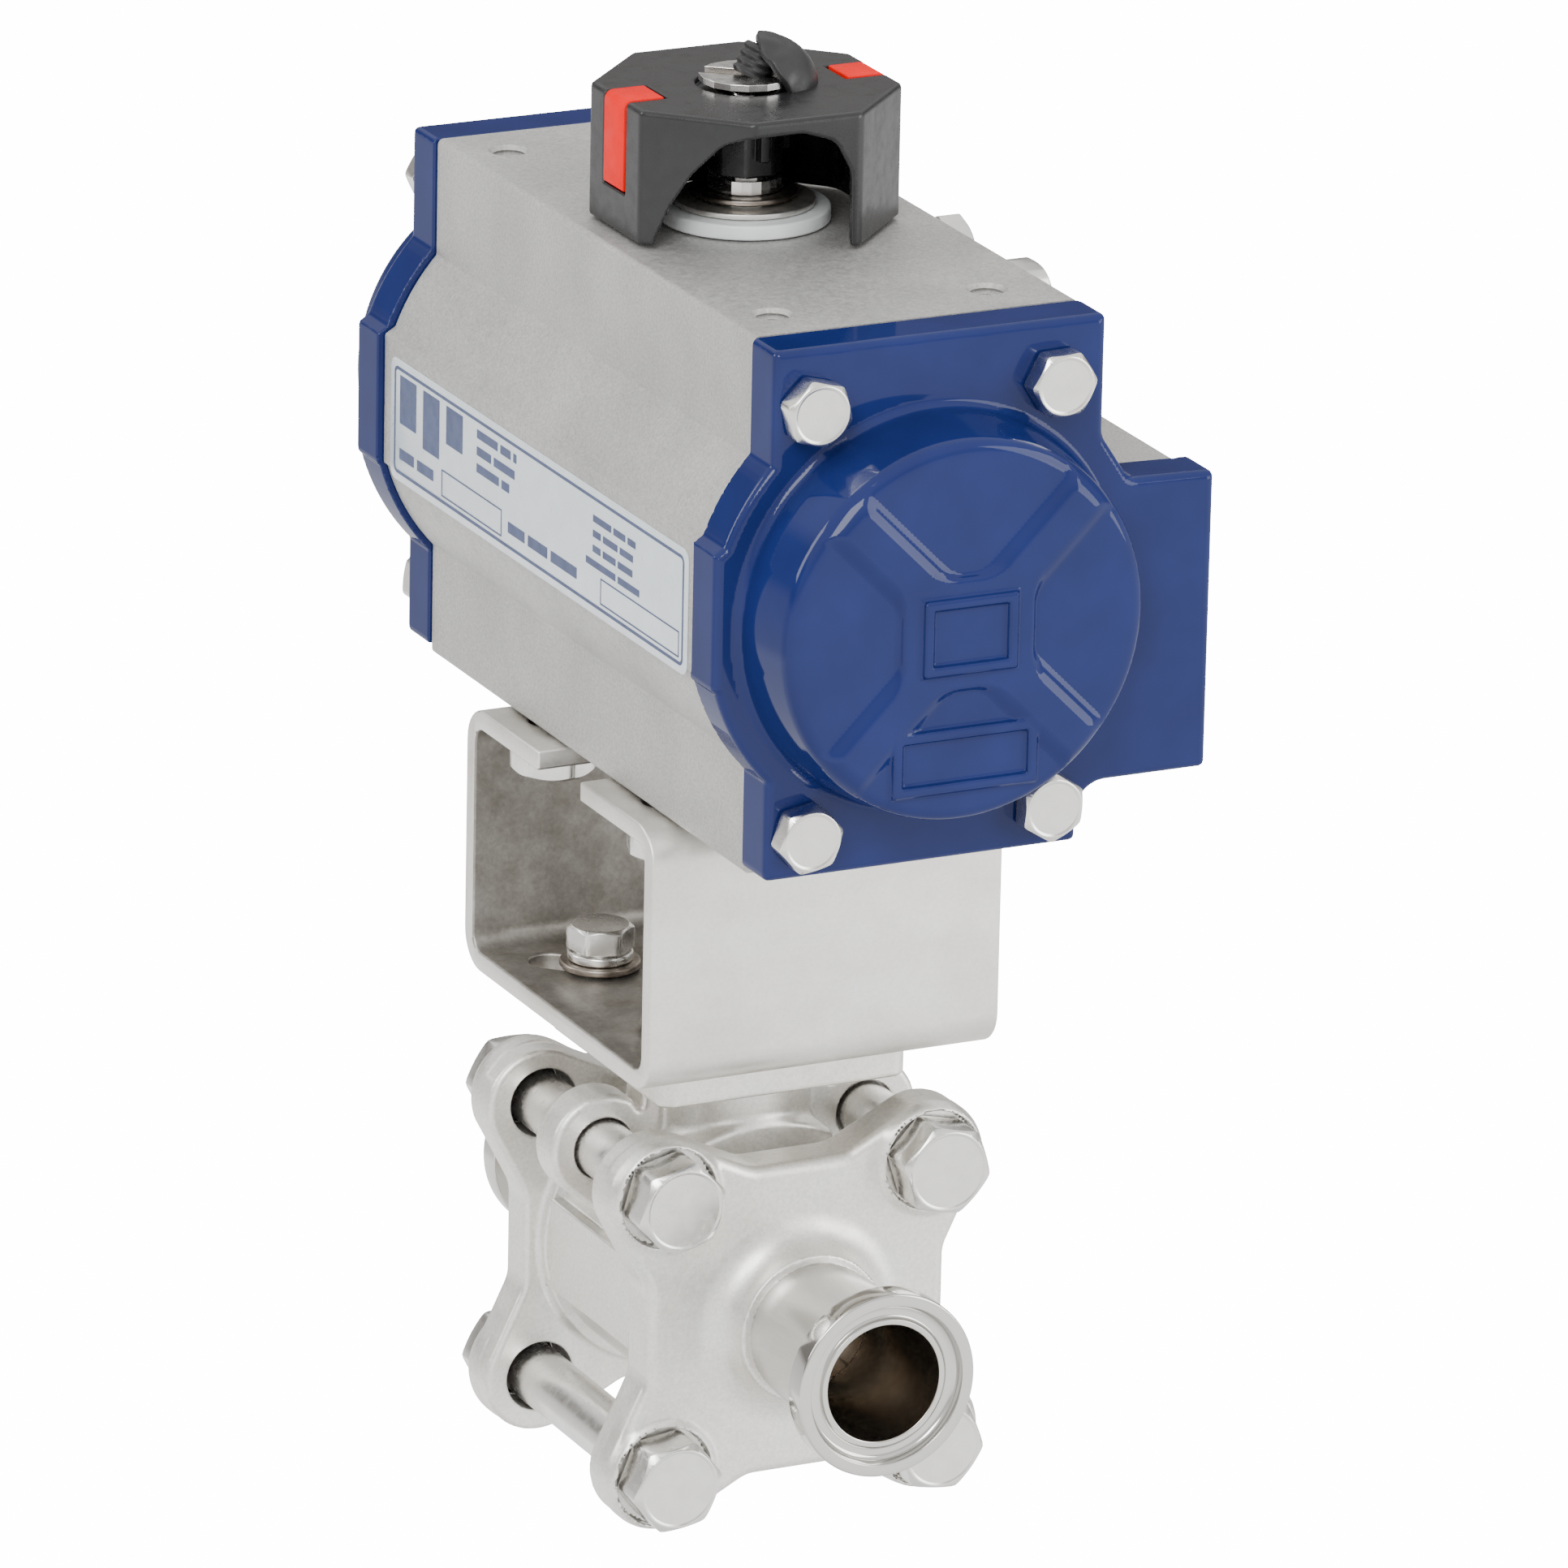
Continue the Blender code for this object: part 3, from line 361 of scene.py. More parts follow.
def bevelled(mesh, width, angle=30.0, segments=2):
    """A bmesh with its sharp edges rounded."""
    return applied(mesh, "BEVEL", width=width, segments=segments, limit_method="ANGLE",
                   angle_limit=math.radians(angle), miter_outer="MITER_ARC")


def cut_by(mesh, *tools):
    """A bmesh with each tool cut out of it."""
    bmesh.ops.recalc_face_normals(mesh, faces=mesh.faces)
    for tool in tools:
        bmesh.ops.recalc_face_normals(tool, faces=tool.faces)
        holder = as_object("tool", tool)
        mesh = applied(mesh, "BOOLEAN", operation="DIFFERENCE", solver="EXACT", object=holder)
        drop(holder)
    return mesh


def from_field(field, low, high, cell, keep=0.35):
    """A bmesh of a field's surface, with its dense flat areas thinned out."""
    points, faces = surface(field, low, high, cell)
    data = bpy.data.meshes.new("field")
    data.from_pydata(points.tolist(), [], faces.tolist())
    data.update()
    mesh = bmesh.new()
    mesh.from_mesh(data)
    bpy.data.meshes.remove(data)
    if keep < 1:
        mesh = applied(mesh, "DECIMATE", ratio=keep)
    return mesh


def mirrored(mesh):
    """A copy of a bmesh on the other side of the stem axis along Y."""
    other = mesh.copy()
    other.transform(Matrix.Diagonal((1, -1, 1, 1)))
    bmesh.ops.reverse_faces(other, faces=other.faces)
    return other


def point(axis, u, v, w):
    """A point with w along the named axis and (u, v) across it."""
    if axis == "x":
        return Vector((w, u, v))
    if axis == "y":
        return Vector((u, w, v))
    return Vector((u, v, w))


def loft(loops, closed=False):
    """A solid through a stack of loops, its ends capped, or closed into a ring."""
    mesh = bmesh.new()
    rings = [[mesh.verts.new(spot) for spot in loop] for loop in loops]
    stack = list(zip(rings, rings[1:]))
    if closed:
        stack.append((rings[-1], rings[0]))
    for lower, upper in stack:
        for index in range(len(lower)):
            after = (index + 1) % len(lower)
            mesh.faces.new((lower[index], lower[after], upper[after], upper[index]))
    if not closed:
        mesh.faces.new(rings[0])
        mesh.faces.new(rings[-1])
    bmesh.ops.recalc_face_normals(mesh, faces=mesh.faces)
    return mesh


def prism(outline, axis, low, high):
    """An outline across the axis, extruded."""
    return loft([[point(axis, u, v, w) for u, v in outline] for w in (low, high)])


def around(axis, shape, along, angle, turn, centre):
    """A point of a turned solid; its radius and height may each depend on the angle."""
    radius = shape(angle) if callable(shape) else shape
    u = centre[0] + radius * math.cos(angle + turn)
    v = centre[1] + radius * math.sin(angle + turn)
    return point(axis, u, v, along(angle) if callable(along) else along)


def turned(axis, profile, centre=(0.0, 0.0), count=72, turn=0.0):
    """A solid through sections (along, shape), a shape being a radius or a radius by angle."""
    angles = [2 * math.pi * index / count for index in range(count)]
    return loft([[around(axis, shape, along, angle, turn, centre) for angle in angles]
                 for along, shape in profile])


def drill(axis, radius, low, high, centre=(0.0, 0.0), count=32):
    """A plain round cutter."""
    return turned(axis, [(low, radius), (high, radius)], centre, count)


def ring(axis, profile, centre=(0.0, 0.0), count=72, sweep=360.0, turn=0.0):
    """A closed (shape, along) profile turned about the axis, by a full or a part turn."""
    full = sweep >= 360.0
    steps = count if full else count + 1
    angles = [math.radians(sweep) * index / count for index in range(steps)]
    return loft([[around(axis, shape, along, angle, turn, centre) for shape, along in profile]
                 for angle in angles], closed=full)


def hexagon(across):
    """The radius of a hexagon by angle, its corners eased a little."""
    corner = across / 2 / math.cos(math.radians(30))

    def radius(angle):
        inside = angle % math.radians(60) - math.radians(30)
        return min(across / 2 / math.cos(inside), corner - 0.012 * across)

    return radius


def chamfer_line(across, face, outward):
    """Height by angle of the curved line where a hexagon's sides meet its end chamfer."""
    radius = hexagon(across)
    disc = 0.475 * across

    def along(angle):
        return face - outward * (0.12 + (radius(angle) - disc) * math.tan(math.radians(30)))

    return along


def bolt(axis, across, head, shank_r, length, seat, centre, outward, turn=0.0, crown=0.0):
    """A hex bolt: shank, washer face, sides, curved chamfer line and a slightly dished top."""
    face = seat + outward * head
    sides = hexagon(across)
    disc = 0.475 * across
    profile = [
        (seat - outward * length, shank_r - 0.5),
        (seat - outward * (length - 0.6), shank_r),
        (seat, shank_r),
        (seat, 0.47 * across),
        (seat + outward * 0.25, 0.47 * across),
        (seat + outward * 0.25, sides),
        (chamfer_line(across, face, outward), sides),
        (face - outward * 0.04, disc + 0.05),
        (face, disc - 0.12),
        (face - outward * crown, disc - 0.45),
        (face - outward * crown, 0.3),
    ]
    return turned(axis, profile, centre, 72, turn)


def nut(axis, across, hole_r, low, high, centre):
    """A hex nut, chamfered on both faces, with a countersunk hole."""
    sides = hexagon(across)
    disc = 0.475 * across
    return ring(axis, [
        (hole_r, low + 0.5), (hole_r + 0.5, low), (disc, low),
        (sides, chamfer_line(across, low, -1)), (sides, chamfer_line(across, high, 1)),
        (disc, high), (hole_r + 0.5, high), (hole_r, high - 0.5),
    ], centre)


def threaded(axis, radius, depth_r, pitch, low, high, centre, count=48):
    """A rod with V rings at the thread's pitch, for screws and as a cutter for tapped holes."""
    profile = [(low, radius - depth_r)]
    turns = max(1, int((high - low) / pitch))
    step = (high - low) / turns
    for index in range(turns):
        start = low + index * step
        profile.append((start + 0.45 * step, radius))
        profile.append((start + 0.55 * step, radius))
        profile.append((start + step, radius - depth_r))
    return turned(axis, profile, centre, count)


def corners(half_u, half_v):
    """The four corners of a rectangle, in the order of the CAD's numbered nodes."""
    return [(-half_u, -half_v), (half_u, -half_v), (-half_u, half_v), (half_u, half_v)]


# ---------------------------------------------------------------- materials

class Nodes:
    """A small builder for one material's nodes, its patterns laid out in metres."""

    def __init__(self, name, colour, roughness, metallic=0.0, **sockets):
        self.material = bpy.data.materials.new(name)
        self.material.use_nodes = True
        self.tree = self.material.node_tree
        self.shader = self.tree.nodes["Principled BSDF"]
        self.shader.inputs["Base Color"].default_value = (*colour, 1.0)
        self.shader.inputs["Roughness"].default_value = roughness
        self.shader.inputs["Metallic"].default_value = metallic
        for key, value in sockets.items():
            self.shader.inputs[key.replace("_", " ")].default_value = value
        self.place = self.tree.nodes.new("ShaderNodeTexCoord").outputs["Object"]
        self.height = None

    def link(self, start, end):
        self.tree.links.new(start, end)

    def noise(self, grain, detail=2.0, rough=0.5, stretch=(1, 1, 1)):
        """Noise whose features are about grain millimetres across."""
        mapping = self.tree.nodes.new("ShaderNodeMapping")
        mapping.inputs["Scale"].default_value = tuple(1000 / grain * part for part in stretch)
        node = self.tree.nodes.new("ShaderNodeTexNoise")
        node.inputs["Scale"].default_value = 1.0
        node.inputs["Detail"].default_value = detail
        node.inputs["Roughness"].default_value = rough
        self.link(self.place, mapping.inputs["Vector"])
        self.link(mapping.outputs["Vector"], node.inputs["Vector"])
        return node.outputs["Fac"]

    def ramp(self, value, stops):
        """A value turned into colours or greys by (position, colour) stops."""
        node = self.tree.nodes.new("ShaderNodeValToRGB")
        elements = node.color_ramp.elements
        while len(elements) < len(stops):
            elements.new(0.5)
        for element, (position, shade) in zip(elements, stops):
            element.position = position
            element.color = (*shade, 1.0) if hasattr(shade, "__len__") else (shade,) * 3 + (1.0,)
        self.link(value, node.inputs["Fac"])
        return node.outputs["Color"]

    def mix(self, share, first, second, mode="MIX"):
        """Two colours mixed by a share, each a socket or a plain colour."""
        node = self.tree.nodes.new("ShaderNodeMix")
        node.data_type = "RGBA"
        node.blend_type = mode
        for socket, value in ((node.inputs[0], share), (node.inputs[6], first), (node.inputs[7], second)):
            if hasattr(value, "is_linked"):
                self.link(value, socket)
            elif hasattr(value, "__len__"):
                socket.default_value = (*value, 1.0)
            else:
                socket.default_value = value
        return node.outputs[2]

    def colour(self, socket):
        self.link(socket, self.shader.inputs["Base Color"])

    def roughness(self, socket):
        self.link(socket, self.shader.inputs["Roughness"])

    def bump(self, height, strength, distance):
        """Add relief, distance in millimetres, over what is there already."""
        node = self.tree.nodes.new("ShaderNodeBump")
        node.inputs["Strength"].default_value = strength
        node.inputs["Distance"].default_value = distance * MM
        self.link(height, node.inputs["Height"])
        if self.height:
            self.link(self.height, node.inputs["Normal"])
        self.height = node.outputs["Normal"]
        self.link(self.height, self.shader.inputs["Normal"])


def shades(colour, spread):
    """A darker and a lighter version of a colour."""
    dark = tuple(part * (1 - spread) for part in colour)
    light = tuple(min(1.0, part * (1 + spread)) for part in colour)
    return dark, light


def finish(name, base, roughness, metallic, mottle=None, layers=(), gloss=None, relief=(), **sockets):
    """A material. Mottle is (noise, spread, low, high) and varies the base colour; layers, each a
    noise and its stops, are multiplied over it; gloss, in the same form, varies the roughness;
    relief is (noise, strength, millimetres). A noise is (grain, detail, roughness, stretch)."""
    made = Nodes(name, base, roughness, metallic, **sockets)
    shade = base
    if mottle:
        noise, spread, low, high = mottle
        dark, light = shades(base, spread)
        shade = made.ramp(made.noise(*noise), [(low, dark), (high, light)])
    for noise, *stops in layers:
        shade = made.mix(1.0, shade, made.ramp(made.noise(*noise), stops), "MULTIPLY")
    if mottle or layers:
        made.colour(shade)
    if gloss:
        noise, *stops = gloss
        made.roughness(made.ramp(made.noise(*noise), stops))
    for noise, strength, distance in relief:
        made.bump(made.noise(*noise), strength, distance)
    return made.material


def moulded(name, base, roughness, grain=0.35, depth=0.03, spread=0.12, **sockets):
    """A moulded plastic or rubber with fine surface texture and a few faint scuffs."""
    return finish(name, base, roughness, 0.0, ((3.5, 3), spread, 0.35, 0.65),
                  gloss=((1.8, 3), (0.3, roughness - 0.06), (0.7, roughness + 0.10)),
                  relief=[((grain, 2), 0.3, depth), ((5, 2), 0.10, 0.2)], **sockets)


def plain_metal(name, base, roughness):
    """A machined or cast metal for the pieces inside, and a darker one for the bores as painted shade."""
    return finish(name, base, roughness, 1.0, ((1.5, 3), 0.1, 0.3, 0.7), relief=[((0.5, 2), 0.2, 0.03)])


# Matte warm grey with a dense dark and light speckle and faint cloudy patches
ANODISED = finish("anodised_aluminium", (0.47, 0.465, 0.45), 0.52, 0.65,
                  ((0.42, 3, 0.7), 0.20, 0.30, 0.70), [((14, 2), (0.3, 0.90), (0.7, 1.05))],
                  ((1.2, 2), (0.3, 0.46), (0.7, 0.60)), [((0.35, 3, 0.7), 0.30, 0.05)])
# Deep blue glossy coating: a clear top layer over a slightly uneven colour coat
BLUE = finish("blue_coating", (0.009, 0.017, 0.095), 0.40, 0.0, ((9, 2), 0.10, 0.3, 0.7),
              relief=[((2.6, 2), 0.16, 0.08), ((0.6, 1), 0.05, 0.02)],
              Coat_Weight=0.5, Coat_Roughness=0.05, Coat_IOR=1.5, Specular_IOR_Level=0.0)
# Bead-blasted investment casting: fine pitted grain, soft sheen, slightly warm patches
CAST = finish("cast_stainless", (0.82, 0.815, 0.79), 0.42, 1.0, ((0.5, 3, 0.7), 0.10, 0.3, 0.7),
              [((11, 3), (0.35, (1.0, 0.97, 0.93)), (0.65, (1.0, 1.0, 1.0)))],
              ((4, 3), (0.3, 0.36), (0.7, 0.50)), [((0.55, 3, 0.7), 0.35, 0.07), ((4, 2), 0.12, 0.3)])
# Pickled stainless sheet: fine matte grain, cloudy stains and faint rolled streaks
SHEET = finish("pickled_sheet", (0.84, 0.835, 0.81), 0.42, 1.0, ((0.6, 3, 0.7), 0.05, 0.3, 0.7),
               [((12, 3, 0.55), (0.35, (0.89, 0.875, 0.845)), (0.62, (1.0, 1.0, 1.0))),
                ((5, 2, 0.5, (0.12, 0.12, 1.0)), (0.3, (0.97, 0.95, 0.93)), (0.6, 1.0))],
               ((3, 3), (0.3, 0.37), (0.7, 0.48)), [((0.5, 3, 0.7), 0.18, 0.04)])
# Painted shade on the channel's inner faces: much darker than the outside, with cloudy stains over it
SHEET_INSIDE = finish("sheet_painted_shade", (0.40, 0.385, 0.36), 0.46, 1.0, None,
                      [((6, 5, 0.65), (0.3, (0.68, 0.65, 0.61)), (0.65, (1.1, 1.1, 1.1))),
                       ((0.7, 3, 0.75), (0.3, 0.85), (0.7, 1.1))],
                      relief=[((0.6, 3, 0.7), 0.25, 0.05)])
# Cold-formed stainless fasteners: bright, with faint blotches and forming marks
BRIGHT = finish("bright_stainless", (0.76, 0.75, 0.725), 0.22, 1.0, ((2.2, 3), 0.04, 0.3, 0.7),
                gloss=((1.3, 3), (0.3, 0.19), (0.7, 0.30)), relief=[((2.4, 1), 0.08, 0.03)])
# Turned and polished stainless with very fine turning lines
POLISHED = finish("polished_stainless", (0.60, 0.59, 0.565), 0.10, 1.0,
                  gloss=((3, 2), (0.3, 0.07), (0.7, 0.14)),
                  relief=[((0.25, 1, 0.5, (0.1, 1, 0.1)), 0.06, 0.02)])
# Painted shade of dark steel on the plate's slot and underside; bronze-tinted washers with a duller surface
DARK = finish("dark_steel", (0.085, 0.072, 0.060), 0.33, 1.0, ((1.5, 2), 0.3, 0.3, 0.7),
              relief=[((0.6, 2), 0.2, 0.03)])
WASHER = finish("washer_steel", (0.30, 0.265, 0.23), 0.34, 1.0, ((2.0, 3), 0.25, 0.3, 0.7),
                relief=[((0.7, 2), 0.2, 0.04)])
# Painted shade: a darker, browner metal than the stainless outside, in the bores and on the ball inside them
BORE = plain_metal("bore_painted_shade", (0.50, 0.455, 0.40), 0.22)
BLACK = moulded("black_nylon", (0.010, 0.010, 0.011), 0.29)
RUBBER = moulded("black_rubber", (0.012, 0.012, 0.013), 0.42, 0.5, 0.05)
RED = moulded("red_plastic", (0.80, 0.001, 0.001), 0.45, 0.6, 0.02, 0.05, Specular_IOR_Level=0.1)
WHITE = moulded("white_polymer", (0.74, 0.77, 0.77), 0.34, 0.8, 0.02, 0.03)
ACETAL = moulded("natural_acetal", (0.58, 0.55, 0.47), 0.45, 0.8, 0.02, 0.04)
LABEL = moulded("label_film", (0.62, 0.68, 0.72), 0.30, 1.5, 0.01, 0.03, Coat_Weight=0.4, Coat_Roughness=0.12)
NAVY = moulded("navy_print", (0.030, 0.050, 0.135), 0.35, 0.6, 0.01, 0.10)
ALLOY = plain_metal("piston_alloy", (0.56, 0.56, 0.56), 0.40)
SPRING = plain_metal("spring_wire", (0.28, 0.29, 0.31), 0.36)


# ---------------------------------------------------------------- actuator

def section(inset, low):
    """Cross-section of the actuator as rounded corners, shared by the body and the caps."""
    bulge_r = 30.2 - inset
    left = 21.9 - 0.5 * inset
    right = 24.2 - 0.5 * inset
    top = TOP - BORE_Z
    bottom = BORE_Z - low
    bulge = LEFT_FLAT - inset
    pad_top = 13.2 - inset
    pad_low = -26.4 + inset
    pad_x = PAD_FACE_X + CAP_STEP - inset
    ease = 0.8
    lower = math.degrees(math.acos(left / bulge_r)) + 180
    shoulder = math.degrees(math.asin(10.8 / bulge_r))
    points = [(-left, top, ease), (right, top, ease), (right, 19.6, 3.0)]
    points += [(28.2, pad_top + 0.3, 2.0), (pad_x, pad_top, ease)]
    points += [(pad_x, pad_low, ease), (26.0, pad_low, 1.5)]
    points += arc((26.0, pad_low - 4.1), 4.1, 100, 176, 8, 0.0)
    points += [(left, -bottom, ease), (-left, -bottom, ease)]
    points += arc((0, 0), bulge_r, lower, 196.0, 14, 0.6)
    points += [(-bulge, -7.8, 0.8), (-bulge, 9.9, 0.4)]
    points += arc((0, 0), bulge_r, 180 - shoulder, 360 - lower, 14, 0.6)
    return [(u, v + BORE_Z) for u, v in filleted(points, 5)]


def actuator_body():
    """Extruded body with its cylinder, pinion bore, tapped holes, stops and air ports."""
    half = BODY_HIGH.y
    mesh = prism(section(CAP_STEP, BODY_LOW.z), "y", -half, half)
    tools = [drill("y", CYLINDER_R, -half - 1, half + 1, (0, BORE_Z), 96)]
    tools.append(drill("z", 11.9, BODY_LOW.z - 1, BORE_Z - 20, count=72))
    tools.append(turned("z", [(BORE_Z + 18, 15.2), (TOP - 8.5, 15.2), (TOP - 8.5, 8.3),
                              (TOP - 0.4, 8.3), (TOP + 0.2, 8.9), (TOP + 1, 8.9)]))
    for x, y in corners(*TOP_HOLES):
        tools.append(threaded("z", 2.5, 0.4, 0.8, TOP - 9.0, TOP - 0.5, (x, y)))
        tools.append(turned("z", [(TOP - 0.55, 2.2), (TOP + 0.2, 2.9), (TOP + 1, 2.9)], (x, y), 48))
    for x, y in corners(ACT_BOLT, ACT_BOLT):
        tools.append(drill("z", 2.7, BODY_LOW.z - 1, BODY_LOW.z + 10, (x, y)))
    for side in (-1, 1):
        for x, z in corners(*CAP_BOLT):
            start, end = sorted((side * (half - 11), side * (half + 1)))
            tools.append(drill("y", 2.7, start, end, (x, z + BORE_Z)))
        tools.append(drill("x", 3.2, 5, PAD_FACE_X, (side * STOP_Y, STOP_Z)))
        port = (side * 12.0, PAD_MID_Z)
        tools.append(threaded("x", 4.6, 0.35, 1.0, 22.0, PAD_FACE_X - 0.6, port))
        tools.append(turned("x", [(PAD_FACE_X - 0.7, 4.2), (PAD_FACE_X + 0.3, 5.2),
                                  (PAD_FACE_X + 1, 5.2)], port, 48))
    for y, z in corners(16.0, 12.0):
        spot = (y, z + PAD_MID_Z)
        tools.append(threaded("x", 2.3, 0.3, 0.8, PAD_FACE_X - 8, PAD_FACE_X - 0.4, spot))
        tools.append(turned("x", [(PAD_FACE_X - 0.5, 2.0), (PAD_FACE_X + 0.2, 2.7),
                                  (PAD_FACE_X + 1, 2.7)], spot, 32))
    mesh = cut_by(mesh, *tools)
    place("actuator_housing", mesh, ANODISED, FIXED, ["actuator_body"], 30)


FRAME_RISE = 0.7
SECTOR_DEPTH = 0.9


def cap_field(x, y, z):
    """Front end cap: rounded flange, tapered boss, ribs in relief and two blank frames."""
    out = -y
    height = z - BORE_Z
    radius = np.hypot(x, height)
    flange = CAP_OUTLINE(x, z)
    flange = meet(flange, out - FLANGE_Y, 1.1)
    taper = BOSS_ROOT_R + (BOSS_R - BOSS_ROOT_R) * (out - FLANGE_Y) / (BOSS_Y - FLANGE_Y)
    face = BOSS_Y - FRAME_RISE
    boss = meet(radius - taper, out - face, 2.6)
    solid = join(flange, boss, 1.2)
    rib = np.minimum(np.abs(x - height), np.abs(x + height)) / math.sqrt(2)
    wall = 2.5 + 1.5 * (face - out) - rib
    middle = -np.maximum(bar(x, 9.3), bar(height, 7.5))
    sunk = meet(meet(wall, middle, 1.2), (face - SECTOR_DEPTH) - out, 0.4)
    solid = cut(solid, np.maximum(sunk, radius - 27), 0.8)
    for centre, half_x, half_z, floor in ((0.0, 6.55, 5.05, face), (-16.6, 10.1, 4.25, face - SECTOR_DEPTH)):
        edge = np.maximum(bar(x, half_x), bar(height - centre, half_z))
        line = meet(np.abs(edge + 0.7) - 0.7, out - (floor + FRAME_RISE), 0.3)
        solid = join(solid, np.maximum(line, (floor - 1.0) - out), 0.45)
    hollow = meet(radius - 21.5, out - (BOSS_Y - 4.2), 1.5)
    solid = cut(solid, hollow, 0.4)
    for bolt_x, bolt_z in corners(*CAP_BOLT):
        solid = cut(solid, np.hypot(x - bolt_x, height - bolt_z) - 2.7, 0.2)
    return meet(solid, SEAM_Y - out, 0.15)


CAP_OUTLINE = polygon_field(section(0.0, CAP_LOW.z))


def end_caps():
    """Both blue caps from one mesh."""
    low = (CAP_LOW.x, -BOSS_Y, CAP_LOW.z)
    high = (CAP_HIGH.x, -SEAM_Y, CAP_HIGH.z)
    front = from_field(cap_field, low, high, 0.45, 0.40)
    rear = mirrored(front)
    place("front_cap", front, BLUE, FIXED, ["front_end_cap"], field=cap_field)
    place("rear_cap", rear, BLUE, FIXED, ["rear_end_cap"], field=cap_field, side=-1)


def cap_bolts():
    """Hex bolts in the caps, each at its own turn."""
    for word, side in (("front", -1), ("rear", 1)):
        for index, (x, z) in enumerate(corners(*CAP_BOLT), 1):
            seat = side * (FLANGE_Y + 0.15)
            turn = math.radians(17 * index + 6 * side)
            mesh = bolt("y", M5_HEX, 3.3, 2.5, 16.0, seat, (x, z + BORE_Z), side, turn, 0.12)
            fastener(f"{word}_cap_bolt_{index}", mesh)


def travel_stops():
    """Stop screws, which slide as they are turned, and their lock nuts."""
    for word, side in (("front", -1), ("rear", 1)):
        screw = f"stop_screw_{word}"
        low, high = node_box(screw)
        spot = (side * STOP_Y, STOP_Z)
        seat = high.x - M6_HEAD
        turn = math.radians(20 + 15 * side)
        mesh = bolt("x", M6_HEX, M6_HEAD, 2.85, seat - low.x, seat, spot, 1, turn, 0.15)
        fastener(screw, mesh, body=screw)
        low, high = node_box(f"stop_nut_{word}")
        fastener(f"stop_nut_{word}", nut("x", M6_HEX, 3.2, low.x, high.x, spot))


# ---------------------------------------------------------------- indicator and shaft neck

def smooth_octagon(x, y, flat, radius):
    """An octagon with its corners rounded."""
    straight = np.maximum(np.abs(x), np.abs(y)) - flat
    slanted = (np.abs(x) + np.abs(y)) / math.sqrt(2) - flat
    return meet(straight, slanted, radius)


ARCH_TURN = math.radians(-22.5)
ARCH = [(-12.4, -2.0, 0), (-12.0, 1.0, 2), (-10.2, 5.6, 5), (-7.6, 10.0, 5), (-3.8, 14.3, 4),
        (-0.5, 15.6, 3), (6.4, 15.7, 4), (10.6, 14.2, 3), (12.7, 10.0, 4), (12.9, -2.0, 0)]
ARCH_FIELD = polygon_field(filleted(ARCH, 8))


def indicator_field(x, y, z):
    """Hollow octagonal cap: rounded top edge, ribbed hub, arch and two recesses for inserts."""
    low, top = IND_LOW.z, IND_HIGH.z
    flat = IND_HIGH.x
    outer = smooth_octagon(x, y, flat, 0.45)
    solid = meet(outer, z - top, 0.7)
    inner = smooth_octagon(x, y, flat - 2.4, 1.0)
    hollow = meet(inner, z - (top - 2.6), 0.8)
    hub = np.maximum(smooth_octagon(x, y, 4.6, 0.3), (TOP + 6.6) - z)
    web = np.maximum(np.minimum(bar(x, 0.7), bar(y, 0.7)), np.hypot(x, y) - 6.2)
    hub = np.minimum(hub, np.maximum(web, (TOP + 9.0) - z))
    solid = cut(solid, cut(hollow, hub, 0.5), 0.3)
    across = x * math.cos(ARCH_TURN) + y * math.sin(ARCH_TURN)
    depth = -x * math.sin(ARCH_TURN) + y * math.cos(ARCH_TURN)
    arch = ARCH_FIELD(across, z - low)
    solid = cut(solid, np.maximum(arch, depth + 11.0), 0.5)
    for side in (-1, 1):
        outward = side * x
        slot = np.maximum(bar(y, 3.25), (top - 12.2) - z)
        deep = np.minimum(np.maximum(slot, (flat - 1.5) - outward),
                          np.maximum(np.maximum(slot, (top - 1.4) - z), (flat - 5.9) - outward))
        solid = cut(solid, deep, 0.25)
    solid = cut(solid, np.hypot(x, y) - 3.9, 0.4)
    solid = cut(solid, np.maximum(np.hypot(x, y) - 6.6, (top - 0.8) - z), 0.3)
    return meet(solid, low - z, 0.5)


def indicator():
    """The cap, its red inserts, the slotted plate and the torn dome plug."""
    mesh = from_field(indicator_field, IND_LOW, IND_HIGH, 0.33, 0.35)
    place("indicator_housing", mesh, BLACK, SHAFT, ["indicator_cap"], field=indicator_field)
    for word, side in (("left", -1), ("right", 1)):
        name = f"indicator_insert_{word}"
        low, high = node_box(name)
        outer = max(abs(low.x), abs(high.x))
        inner = min(abs(low.x), abs(high.x))
        points = [(outer, low.z, 0.2), (outer, high.z, 1.2), (inner, high.z, 0.2)]
        points += [(inner, high.z - 1.2, 0.1), (outer - 1.3, high.z - 1.2, 0.3), (outer - 1.3, low.z, 0.1)]
        outline = [(side * x, z) for x, z in filleted(points, 4)]
        mesh = bevelled(prism(outline, "y", low.y, high.y), 0.22)
        place(name + "_fine", mesh, RED, SHAFT, [name])
    plate_and_plug()


